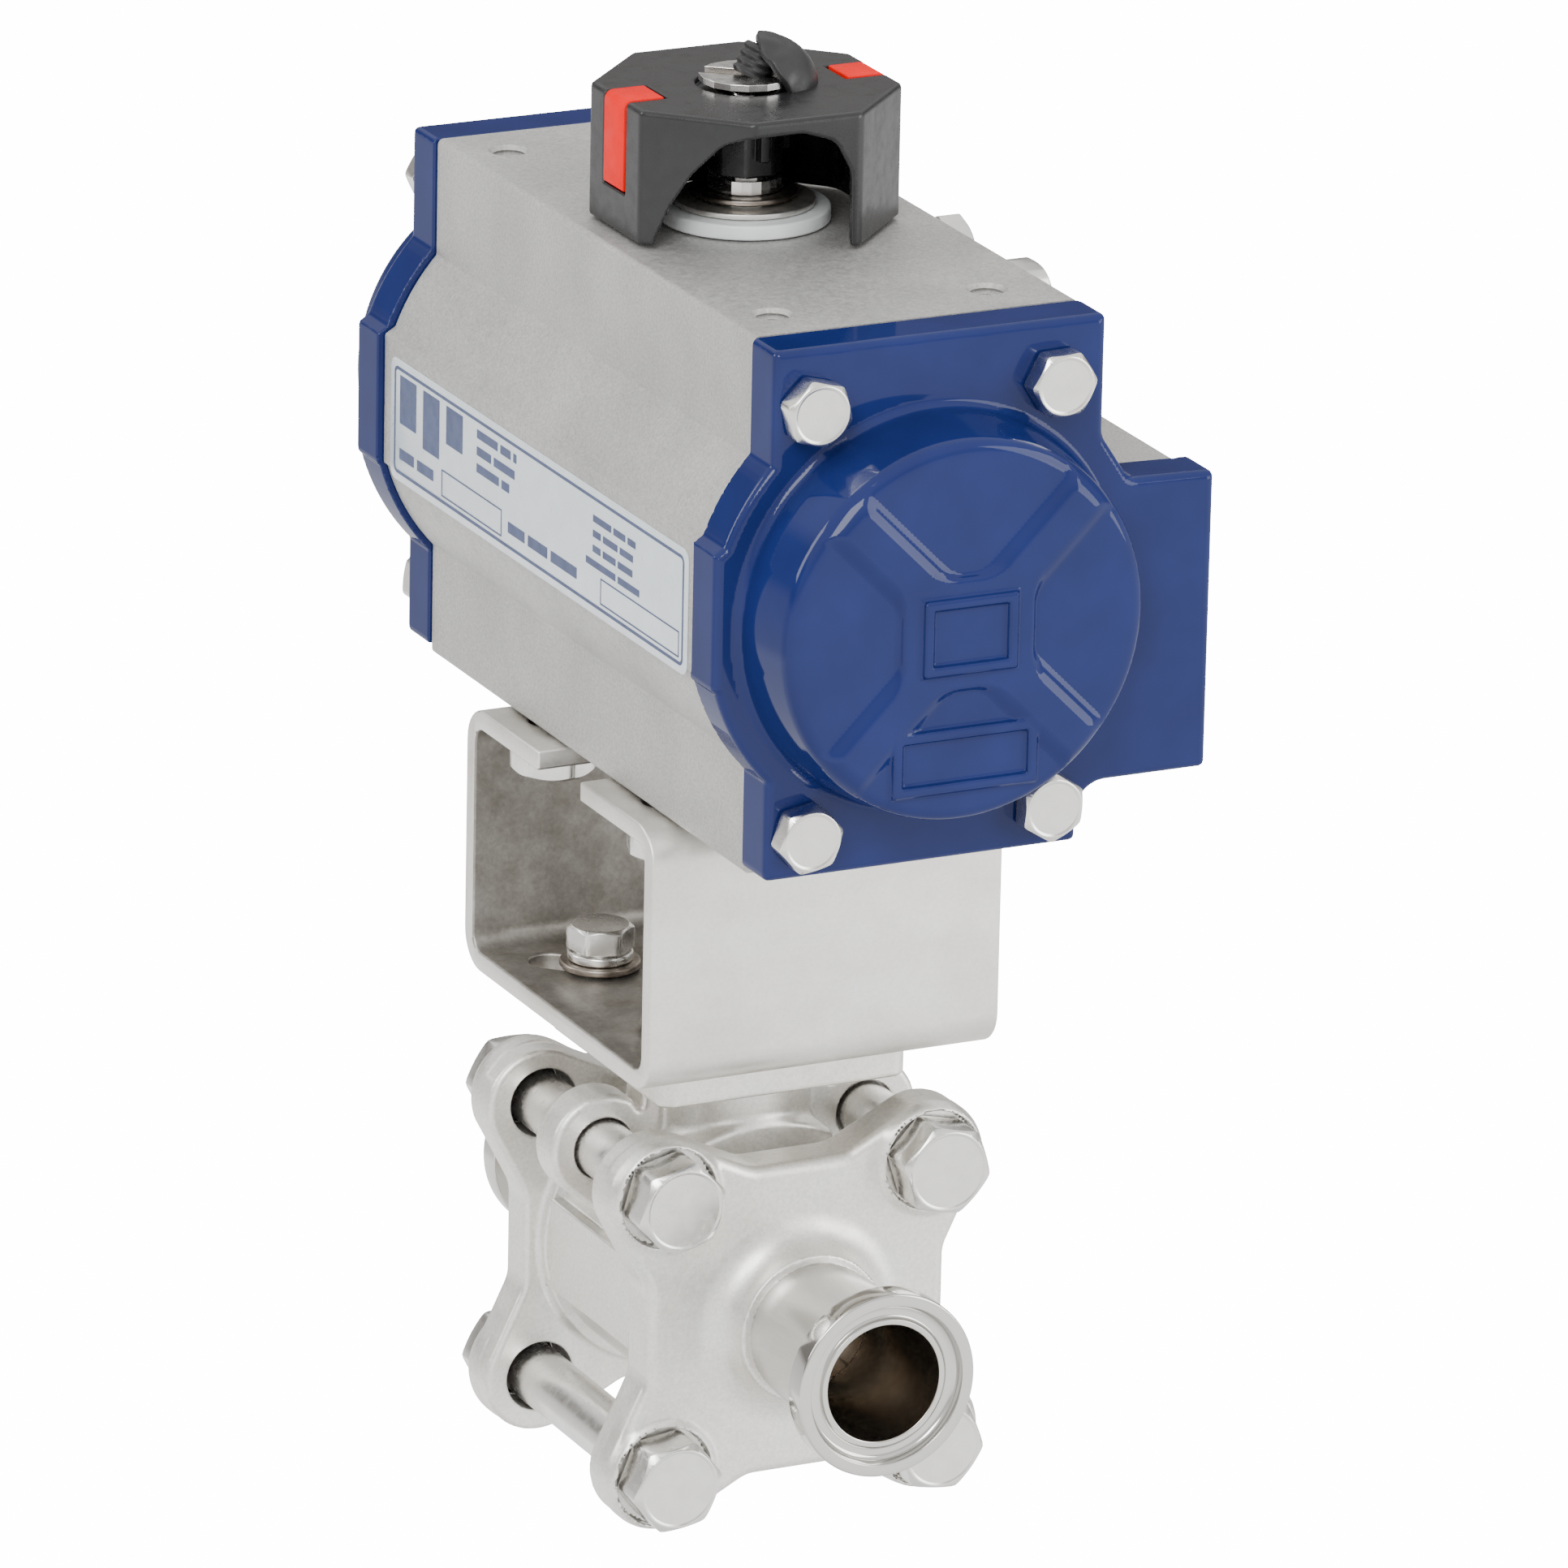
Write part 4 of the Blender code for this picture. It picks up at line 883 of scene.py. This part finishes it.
def plate_and_plug():
    """A bright slotted plate in the cap's top and the black dome plug that has torn out of it."""
    low, high = node_box("indicator_screw")
    plate_z = high.z - 0.9
    notch = [(-1.5, -9.0), (1.5, -9.0), (1.5, 9.0), (-1.5, 9.0)]
    outline = filleted([(u, v, 0.5) for u, v in arc((0, 0), 6.2, 0, 337.5, 15)], 3)
    mesh = prism(outline, "z", plate_z, high.z)
    slot = prism(notch, "z", plate_z + 0.1, high.z + 1)
    slot.transform(Matrix.Rotation(math.radians(52), 4, "Z"))
    mesh = bevelled(cut_by(mesh, slot), 0.12)
    made = place("indicator_plate", mesh, BRIGHT, SHAFT, ["indicator_screw"], CRISP)
    # The slot's floor and the plate's underside: painted shade in dark steel.
    repaint(made, DARK, lambda middle, normal: middle.z < plate_z + 0.3)
    shank = threaded("z", 1.95, 0.2, 0.7, low.z, plate_z - 0.05, (0, 0))
    place("indicator_screw_shank", shank, BRIGHT, SHAFT)
    dome = []
    for share in range(13):
        angle = math.radians(4 + 57 * share / 12)
        dome.append((7.0 * math.sin(angle), 7.0 * math.cos(angle) - 3.6))
    inner = [(radius * 0.93, along - 0.7) for radius, along in dome]
    profile = [(0.05, dome[0][1])] + dome + inner[::-1] + [(0.05, inner[0][1])]
    shell = ring("z", profile, count=64)
    for vert in shell.verts:
        angle = math.atan2(vert.co.y, vert.co.x)
        radius = math.hypot(vert.co.x, vert.co.y)
        edge = max(0.0, (radius - 3.6) / 2.4)
        ragged = 0.35 * math.sin(5 * angle + 1.0) + 0.22 * math.sin(11 * angle)
        vert.co.z += edge * (0.5 * ragged + 0.45 * math.cos(angle - 2.6))
        vert.co.x *= 1 + 0.06 * edge * ragged
    tilt = Matrix.Translation((5.0, -1.2, TOP + 19.6)) @ Matrix.Rotation(math.radians(25), 4, "X")
    tilt = tilt @ Matrix.Rotation(math.radians(44), 4, "Y")
    shell.transform(tilt)
    place("indicator_dome", bevelled(shell, 0.12, 40), RUBBER, SHAFT, ["indicator_plug"])
    stem = threaded("z", 2.6, 0.35, 0.9, -3.0, 1.2, (0, 0), 40)
    stem.transform(Matrix.Translation((1.6, -0.4, high.z + 2.2)) @ Matrix.Rotation(math.radians(28), 4, "Y"))
    place("indicator_dome_stem", bevelled(stem, 0.08, 40), RUBBER, SHAFT)


def shaft_rings():
    """White thrust ring, bright washer and dark snap ring with its two ends."""
    def washer(name, inner, outer, ease, material, body, node):
        low, high = node_box(node)
        profile = rounded_box(inner, low.z, outer, high.z, ease, 3)
        place(name, ring("z", profile, count=96), material, body, [node])

    washer("thrust_ring_fine", 5.35, 11.2, 0.35, WHITE, FIXED, "thrust_ring")
    washer("thrust_washer_fine", 5.3, 9.2, 0.12, SHEET, SHAFT, "thrust_washer")
    low, high = node_box("snap_ring")
    profile = rounded_box(4.9, low.z, 6.9, high.z, 0.15, 3, 0.25)
    mesh = ring("z", profile, count=80, sweep=325.0, turn=math.radians(60))
    place("snap_ring_fine", mesh, WASHER, SHAFT, ["snap_ring"])


# ---------------------------------------------------------------- bracket

def bracket():
    """Folded sheet bracket with its slot, holes and the radial slots of its floor."""
    low, high = BRACKET_LOW.z, BRACKET_HIGH.z
    side = BRACKET_HIGH.y
    sheet = 2.7
    bend = 5.0
    slot = 6.5
    corners_out = [(side, high, bend), (side, low, bend), (-side, low, bend), (-side, high, bend)]
    inner = side - sheet
    corners_in = [(-inner, high - sheet, bend - sheet), (-inner, low + sheet, bend - sheet),
                  (inner, low + sheet, bend - sheet), (inner, high - sheet, bend - sheet)]
    points = [(slot, high, 0)] + corners_out + [(-slot, high, 0), (-slot, high - sheet, 0)]
    points += corners_in + [(slot, high - sheet, 0)]
    mesh = prism(filleted(points, 8), "x", BRACKET_LOW.x, BRACKET_HIGH.x)
    tools = [drill("z", 12.5, high - sheet - 1, high + 1, count=96)]
    for x, y in corners(ACT_BOLT, ACT_BOLT):
        tools.append(drill("z", 3.3, high - sheet - 1, high + 1, (x, y), 40))
    tools.append(drill("z", 10.0, low - 1, low + sheet + 1, count=72))
    for turn in (45, 135, 225, 315):
        outline = arc((25.0, 0), 2.8, -90, 90, 12) + arc((18.0, 0), 2.8, 90, 270, 12)
        tool = prism(outline, "z", low - 1, low + sheet + 1)
        tool.transform(Matrix.Rotation(math.radians(turn), 4, "Z"))
        tools.append(tool)
    mesh = bevelled(cut_by(mesh, *tools), 0.35, 50, 3)
    made = place("bracket_folded", mesh, SHEET, FIXED, ["bracket"])

    def inside(middle, normal):
        across = Vector((0.0, middle.y / side, (2 * middle.z - high - low) / (high - low)))
        return normal.dot(across) < -0.3 and max(abs(across.y), abs(across.z)) < 0.99

    # The channel's inner faces take the darker sheet: painted shade.
    repaint(made, SHEET_INSIDE, inside)


def bracket_bolts():
    """Bolts up into the actuator; bolts, spring washers and washers down into the valve."""
    for index, (x, y) in enumerate(corners(ACT_BOLT, ACT_BOLT), 1):
        name = f"actuator_mount_bolt_{index}"
        low, high = node_box(name)
        seat = low.z + M6_HEAD
        turn = math.radians(11 * index)
        mesh = bolt("z", M6_HEX, M6_HEAD, 2.5, high.z - seat, seat, (x, y), -1, turn, 0.1)
        fastener(name, mesh)
    for index, (x, y) in enumerate(corners(PAD_BOLT, PAD_BOLT), 1):
        name = f"valve_mount_bolt_{index}"
        low, high = node_box(name)
        floor = high.z - 5.9
        seat = floor + 2.35
        turn = math.radians(13 * index)
        mesh = bolt("z", M5_HEX, high.z - seat, 2.4, seat - low.z, seat, (x, y), 1, turn, 0.1)
        fastener(name, mesh)
        profile = rounded_box(2.7, floor, 5.4, floor + 1.0, 0.1, 3, 0.3)
        place(f"flat_washer_{index}", ring("z", profile, (x, y)), WASHER, FIXED)
        profile = rounded_box(2.6, floor + 1.02, 4.4, seat - 0.03, 0.2, 4, 0.4)
        mesh = ring("z", profile, (x, y), 64, 350.0, math.radians(40 * index))
        place(f"spring_washer_{index}", mesh, BRIGHT, FIXED)


# ---------------------------------------------------------------- ball valve

def end_outline():
    """The four-eared flange with its ears and waists rounded into each other."""
    points = []
    for quarter in range(4):
        turn = Matrix.Rotation(math.radians(90 * quarter), 2)
        local = [(21.4, -6.5, 5.0), (21.4, 6.5, 5.0)]
        local += arc(VALVE_BOLT, 7.7, -22, 112, 22, 0.0)
        for u, v, radius in local:
            spot = turn @ Vector((u, v))
            points.append((spot.x, spot.y, radius))
    return filleted(points, 8)


END_FIELD = polygon_field(end_outline())


def end_piece_field(x, y, z):
    """Front end piece: eared flange, cast neck and pockets for the bolt heads."""
    out = -y
    radius = np.hypot(x, z)
    flange = meet(END_FIELD(x, z), out - FLANGE_OUT, 1.5)
    flange = meet(flange, EAR_IN - out, 0.8)
    inner = meet(radius - 19.4, out - (FLANGE_OUT - 2), 0.5)
    inner = meet(inner, END_LOW.y - out, 0.4)
    solid = join(flange, inner, 1.0)
    neck = meet(radius - 10.2, out - NECK_END, 0.3)
    solid = join(solid, neck, 4.6)
    for bolt_x, bolt_z in corners(*VALVE_BOLT):
        u, v = x - bolt_x, z - bolt_z
        spot = np.hypot(u, v)
        rim = np.maximum(meet(spot - 7.3, out - (FLANGE_OUT + 0.7), 0.8), 20.0 - out)
        solid = join(solid, rim, 0.9)
        solid = cut(solid, np.maximum(spot - 6.75, (FLANGE_OUT - 1.0) - out), 0.3)
        solid = cut(solid, spot - 4.7, 0.35)
    return cut(solid, radius - 7.9, 0.3)


def end_pieces():
    """Both cast end pieces from one mesh, and their polished tubes and ferrules."""
    low = (END_LOW.x, -NECK_END, END_LOW.z)
    high = (END_HIGH.x, -END_LOW.y, END_HIGH.z)
    front = from_field(end_piece_field, low, high, 0.42, 0.40)
    rear = mirrored(front)
    placed = [
        place("front_end_casting", front, CAST, FIXED, ["front_end_piece"],
              field=end_piece_field),
        place("rear_end_casting", rear, CAST, FIXED, ["rear_end_piece"],
              field=end_piece_field, side=-1),
    ]
    face = FERRULE_Y
    back = face - 3.6
    for word, side in (("front", -1), ("rear", 1)):
        points = [(7.95, NECK_END - 2, 0), (9.5, NECK_END - 2, 0), (9.5, back, 0.9), (12.5, back, 0.3)]
        points += [(12.5, face, 0.3), (10.85, face, 0.15), (10.5, face - 1.6, 0.8), (8.95, face - 1.6, 0.6)]
        points += [(8.7, face - 1.0, 0.1), (7.95, face - 1.0, 0.2)]
        outline = [(radius, side * along) for radius, along in filleted(points, 5)]
        mesh = ring("y", outline, count=112)
        placed.append(place(f"{word}_ferrule", mesh, POLISHED, FIXED, sharp=40))
    for made in placed:
        # The bore's faces take the darker metal: painted shade.
        repaint(made, BORE, lambda middle, normal: math.hypot(middle.x, middle.z) < 8.05)


DRUM_RIM = 19.6
PAD_THICK = 6.1


def valve_body_field(x, y, z):
    """Centre body: rimmed drum with flats, saddle, neck, mounting pad and the two upper ears."""
    radius = np.hypot(x, z)
    half = VALVE_HIGH.y
    drum = meet(radius - 18.0, bar(y, half), 0.3)
    panel = np.maximum(np.maximum(bar(x, 18.6), bar(z, 6.3)), bar(y, half - 1.0))
    solid = join(drum, meet(panel, panel, 0.1), 0.25)
    rims = meet(radius - DRUM_RIM, np.maximum(bar(y, half), (half - 2.4) - np.abs(y)), 0.4)
    solid = join(solid, rims, 0.5)
    saddle = meet(meet(radius - 23.0, bar(x, 10.5), 0.8), bar(y, 11.2), 0.8)
    solid = join(solid, np.maximum(saddle, 8 - z), 0.9)
    stem = np.hypot(x, y)
    neck = np.maximum(stem - 10.7, np.maximum(12 - z, z - (VALVE_HIGH.z - 2)))
    solid = join(solid, neck, 1.2)
    plate = PLATE_FIELD(x, z)
    plate = meet(plate, bar(y, 3.0), 0.9)
    solid = join(solid, plate, 1.0)
    pad = meet(bar(x, 17.8), bar(y, 17.8), 2.2)
    pad = meet(pad, bar(z - (VALVE_HIGH.z - PAD_THICK / 2), PAD_THICK / 2), 0.6)
    solid = join(solid, pad, 1.2)
    for side in (-1, 1):
        solid = cut(solid, np.hypot(x - side * VALVE_BOLT[0], z - VALVE_BOLT[1]) - 4.2, 0.35)
    ball_room = np.maximum(radius - 14.2, z - 15.5)
    solid = cut(solid, ball_room, 0.3)
    shaft_room = np.where(z < 17.0, stem - 7.4, np.where(z < 27.0, stem - 5.05, stem - 8.2))
    solid = cut(solid, np.maximum(shaft_room, 8 - z), 0.2)
    for bolt_x, bolt_y in corners(PAD_BOLT, PAD_BOLT):
        hole = np.maximum(np.hypot(x - bolt_x, y - bolt_y) - 2.6, (VALVE_HIGH.z - 6) - z)
        solid = cut(solid, hole, 0.2)
    return solid


def plate_outline():
    """The plate that carries the two upper ears."""
    points = arc(VALVE_BOLT, 7.4, -45, 125, 22, 0.0)
    points += [(13.6, 23.4, 2.0), (13.2, 31.0, 0), (-13.2, 31.0, 0), (-13.6, 23.4, 2.0)]
    mirror = (-VALVE_BOLT[0], VALVE_BOLT[1])
    points += arc(mirror, 7.4, 55, 225, 22, 0.0) + [(-13.0, 5.0, 0), (13.0, 5.0, 0)]
    return filleted(points, 6)


PLATE_FIELD = polygon_field(plate_outline())


def valve_body():
    """The cast centre body."""
    mesh = from_field(valve_body_field, VALVE_LOW, VALVE_HIGH, 0.42, 0.45)
    place("valve_centre_casting", mesh, CAST, FIXED, ["valve_body"], field=valve_body_field)


def valve_bolts():
    """Long bolts with nuts and a little thread past each nut."""
    for index, (x, z) in enumerate(corners(*VALVE_BOLT), 1):
        name = f"valve_bolt_{index}"
        low, high = node_box(name)
        seat = low.y + 6.0
        turn = math.radians((8, 52, 14, 47)[index - 1])
        mesh = bolt("y", VALVE_HEX, 6.0, 3.95, high.y - seat - 9.0, seat, (x, z), -1, turn, 0.12)
        fastener(name, mesh, 0.09)
        thread = threaded("y", 3.95, 0.45, 1.25, high.y - 9.05, high.y, (x, z))
        place(f"valve_bolt_thread_{index}", thread, BRIGHT, FIXED)
        name = f"valve_nut_{index}"
        low, high = node_box(name)
        mesh = nut("y", VALVE_HEX, 4.15, low.y, high.y, (x, z))
        fastener(name, mesh, 0.09)


# ---------------------------------------------------------------- label

def label():
    """White film on the body's left flat: a navy border, two blank boxes and plain bars."""
    face = -(LEFT_FLAT - CAP_STEP)
    film = 0.12
    y_half = 46.0
    low, high = BORE_Z - 8.8, BORE_Z + 7.8
    sheet = rounded_box(-y_half, low, y_half, high, 1.6, 6)
    mesh = prism(sheet, "x", face - film, face - 0.005)
    place("label_film", bevelled(mesh, 0.03, 40), LABEL, FIXED)
    ink = []
    ink_x = (face - film - 0.03, face - film - 0.004)

    def bar_at(y0, z0, y1, z1):
        ink.append(prism(rounded_box(y0, z0, y1, z1, 0.08, 2), "x", *ink_x))

    def frame_at(y0, z0, y1, z1, line, ease):
        outer = rounded_box(y0, z0, y1, z1, ease, 6)
        inner = rounded_box(y0 + line, z0 + line, y1 - line, z1 - line, ease * 0.6, 6)
        far, near = ink_x
        ink.append(loft([[point("x", *out, near), point("x", *out, far),
                          point("x", *within, far), point("x", *within, near)]
                         for out, within in zip(outer, inner)], closed=True))

    def words_at(y_start, z_top, height, lengths):
        """Plain blocks in a row, reading from the rear of the body to its front."""
        here = y_start
        for length in lengths:
            bar_at(here - length, z_top - height, here, z_top)
            here -= length + 0.7 * height

    frame_at(-y_half + 1.2, low + 1.0, y_half - 1.2, high - 1.0, 0.45, 1.0)
    frame_at(10.5, low + 1.9, 29.5, low + 5.6, 0.22, 0.1)
    frame_at(-43.6, low + 1.9, -20.0, low + 5.4, 0.22, 0.1)
    for index, tall in enumerate((6.6, 8.0, 5.2)):
        start = 43.0 - 7.4 * index
        bar_at(start - 5.2, high - 2.0 - tall, start, high - 2.0)
    for row, lengths in enumerate(((6.5, 3.2, 1.0), (4.5, 6.5), (7.0, 2.4))):
        words_at(18.5, high - 2.4 - 2.3 * row, 1.2, lengths)
    for row, lengths in enumerate(((5.5, 3.6, 2.4), (2.4, 4.4, 4.0), (2.4, 3.9, 4.4), (9.0, 6.5))):
        words_at(-15.5 - (2.0 if row < 3 else 0.0), high - 3.4 - 2.0 * row, 0.95, lengths)
    words_at(43.0, low + 4.6, 1.5, (4.6, 5.2))
    words_at(8.5, low + 4.6, 1.5, (5.2, 6.0, 8.0))
    whole = ink[0]
    for other in ink[1:]:
        spare = bpy.data.meshes.new("spare")
        other.to_mesh(spare)
        other.free()
        whole.from_mesh(spare)
        bpy.data.meshes.remove(spare)
    place("label_print", whole, NAVY, FIXED)


# ---------------------------------------------------------------- CAD nodes that stay

# The ball takes the bores' painted shade.
KEPT = {
    "pinion_shaft": BRIGHT, "stop_cam": BRIGHT, "drive_coupling": BRIGHT, "valve_stem": BRIGHT,
    "ball": BORE, "gland_nut": BRIGHT, "stem_packing": WHITE, "front_seat": WHITE,
    "rear_seat": WHITE, "front_piston": ALLOY, "rear_piston": ALLOY, "front_piston_seal": RUBBER,
    "rear_piston_seal": RUBBER, "front_spring": SPRING, "rear_spring": SPRING,
    "lower_pinion_bush": ACETAL, "upper_pinion_bush": ACETAL,
}


def keep_nodes():
    """CAD nodes whose shape is right get their detailed material."""
    for name, material in KEPT.items():
        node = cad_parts[name]
        node.data.materials.clear()
        node.data.materials.append(material)


# ---------------------------------------------------------------- stage

BACKDROP_GLOW = 14.0
STAGE_R = 14.0
FLOOR_HALF = 12.0
FLOOR_Z = -1.5


def backdrop(name, mesh):
    """A plain pale surface that the camera sees and that lights nothing."""
    made = as_object(name, mesh)
    material = bpy.data.materials.new(name)
    material.use_nodes = True
    shader = material.node_tree.nodes["Principled BSDF"]
    shader.inputs["Base Color"].default_value = (1.0, 1.0, 1.0, 1.0)
    shader.inputs["Emission Color"].default_value = (1.0, 1.0, 1.0, 1.0)
    shader.inputs["Emission Strength"].default_value = BACKDROP_GLOW
    made.data.materials.append(material)
    for kind in ("diffuse", "glossy", "transmission", "shadow"):
        setattr(made, "visible_" + kind, False)


def lamp(name, place_at, target, size, energy):
    """A soft rectangular light aimed at a point."""
    data = bpy.data.lights.new(name, "AREA")
    data.shape = "RECTANGLE"
    data.size, data.size_y = size
    data.energy = energy
    made = bpy.data.objects.new(name, data)
    made.location = place_at
    direction = Vector(target) - Vector(place_at)
    made.rotation_euler = direction.to_track_quat("-Z", "Y").to_euler()
    bpy.context.scene.collection.objects.link(made)


# The surroundings behind and in front of the object by height of the direction: grey and warmth
WORLD_BACK = [(-1.0, 0.85, 0.0), (-0.37, 1.25, 0.0), (-0.31, 0.85, 0.01), (0.0, 0.65, 0.03),
              (0.10, 0.20, 0.12), (0.33, 0.22, 0.08), (0.44, 0.85, 0.01), (1.0, 1.0, 0.0)]
WORLD_FRONT = [(-1.0, 0.8, 0.0), (-0.35, 1.25, 0.0), (-0.05, 1.1, 0.0), (0.12, 0.55, 0.04),
               (0.5, 0.9, 0.0), (1.0, 1.0, 0.0)]


def graded(tree, share, stops_wanted):
    """A colour ramp over a 0 to 1 share from (height, grey, warmth) stops."""
    ramp = tree.nodes.new("ShaderNodeValToRGB")
    tree.links.new(share, ramp.inputs["Fac"])
    stops = ramp.color_ramp.elements
    while len(stops) < len(stops_wanted):
        stops.new(0.5)
    for stop, (height, grey, warmth) in zip(stops, stops_wanted):
        stop.position = (height + 1) / 2
        stop.color = (grey, grey * (1 - 0.5 * warmth), grey * (1 - warmth), 1.0)
    return ramp.outputs["Color"]


def surroundings():
    """A room with a bright table: darker behind the object just above the table's far edge."""
    world = bpy.data.worlds.new("studio")
    bpy.context.scene.world = world
    world.use_nodes = True
    tree = world.node_tree
    background = tree.nodes["Background"]
    direction = tree.nodes.new("ShaderNodeTexCoord").outputs["Generated"]
    split = tree.nodes.new("ShaderNodeSeparateXYZ")
    tree.links.new(direction, split.inputs[0])
    half = tree.nodes.new("ShaderNodeMath")
    half.operation = "MULTIPLY_ADD"
    half.inputs[1].default_value = 0.5
    half.inputs[2].default_value = 0.5
    tree.links.new(split.outputs["Z"], half.inputs[0])
    behind = tree.nodes.new("ShaderNodeMapRange")
    behind.interpolation_type = "SMOOTHSTEP"
    behind.inputs["From Min"].default_value = -0.35
    behind.inputs["From Max"].default_value = 0.35
    tree.links.new(split.outputs["Y"], behind.inputs["Value"])
    blend = tree.nodes.new("ShaderNodeMix")
    blend.data_type = "RGBA"
    tree.links.new(behind.outputs["Result"], blend.inputs[0])
    tree.links.new(graded(tree, half.outputs[0], WORLD_FRONT), blend.inputs[6])
    tree.links.new(graded(tree, half.outputs[0], WORLD_BACK), blend.inputs[7])
    tree.links.new(blend.outputs[2], background.inputs["Color"])
    background.inputs["Strength"].default_value = 1.5


def studio():
    """A plain pale floor and backdrop, the surroundings and soft lights."""
    floor = bmesh.new()
    bmesh.ops.create_grid(floor, x_segments=1, y_segments=1, size=FLOOR_HALF)
    bmesh.ops.translate(floor, verts=floor.verts, vec=(0, 0, FLOOR_Z))
    backdrop("floor", floor)
    dome = bmesh.new()
    bmesh.ops.create_uvsphere(dome, u_segments=32, v_segments=16, radius=STAGE_R)
    bmesh.ops.reverse_faces(dome, faces=dome.faces)
    backdrop("backdrop", dome)
    surroundings()
    centre = (0.0, 0.05, 0.07)
    lamp("key", (-1.1, -1.3, 1.5), centre, (1.0, 1.0), 34)
    lamp("fill", (1.6, -1.5, 0.5), centre, (1.2, 1.4), 26)
    lamp("window", (-1.7, 1.1, 1.0), centre, (0.6, 1.0), 14)


AZIMUTH = math.radians(25.884)
PITCH = math.radians(18.682)
ROLL = math.radians(1.208)
LENS = 301.35
SENSOR = 36.0
CAMERA_AT = Vector((-701.24, -1410.99, 614.25))


def camera():
    """A long-lens camera at the view's angle."""
    data = bpy.data.cameras.new("camera")
    data.lens = LENS
    data.sensor_width = SENSOR
    data.clip_start = 0.05
    data.clip_end = 100.0
    made = bpy.data.objects.new("camera", data)
    bpy.context.scene.collection.objects.link(made)
    level = math.cos(PITCH)
    back = Vector((-math.sin(AZIMUTH) * level, -math.cos(AZIMUTH) * level, math.sin(PITCH)))
    right = (-back).cross(Vector((0, 0, 1))).normalized()
    up = right.cross(-back)
    turned_right = right * math.cos(ROLL) + up * math.sin(ROLL)
    turned_up = up * math.cos(ROLL) - right * math.sin(ROLL)
    rotation = Matrix((turned_right, turned_up, back)).transposed().to_4x4()
    made.matrix_world = Matrix.Translation(CAMERA_AT * MM) @ rotation
    bpy.context.scene.camera = made


actuator_body()
end_caps()
cap_bolts()
travel_stops()
indicator()
shaft_rings()
bracket()
bracket_bolts()
end_pieces()
valve_body()
valve_bolts()
label()
keep_nodes()
studio()
camera()
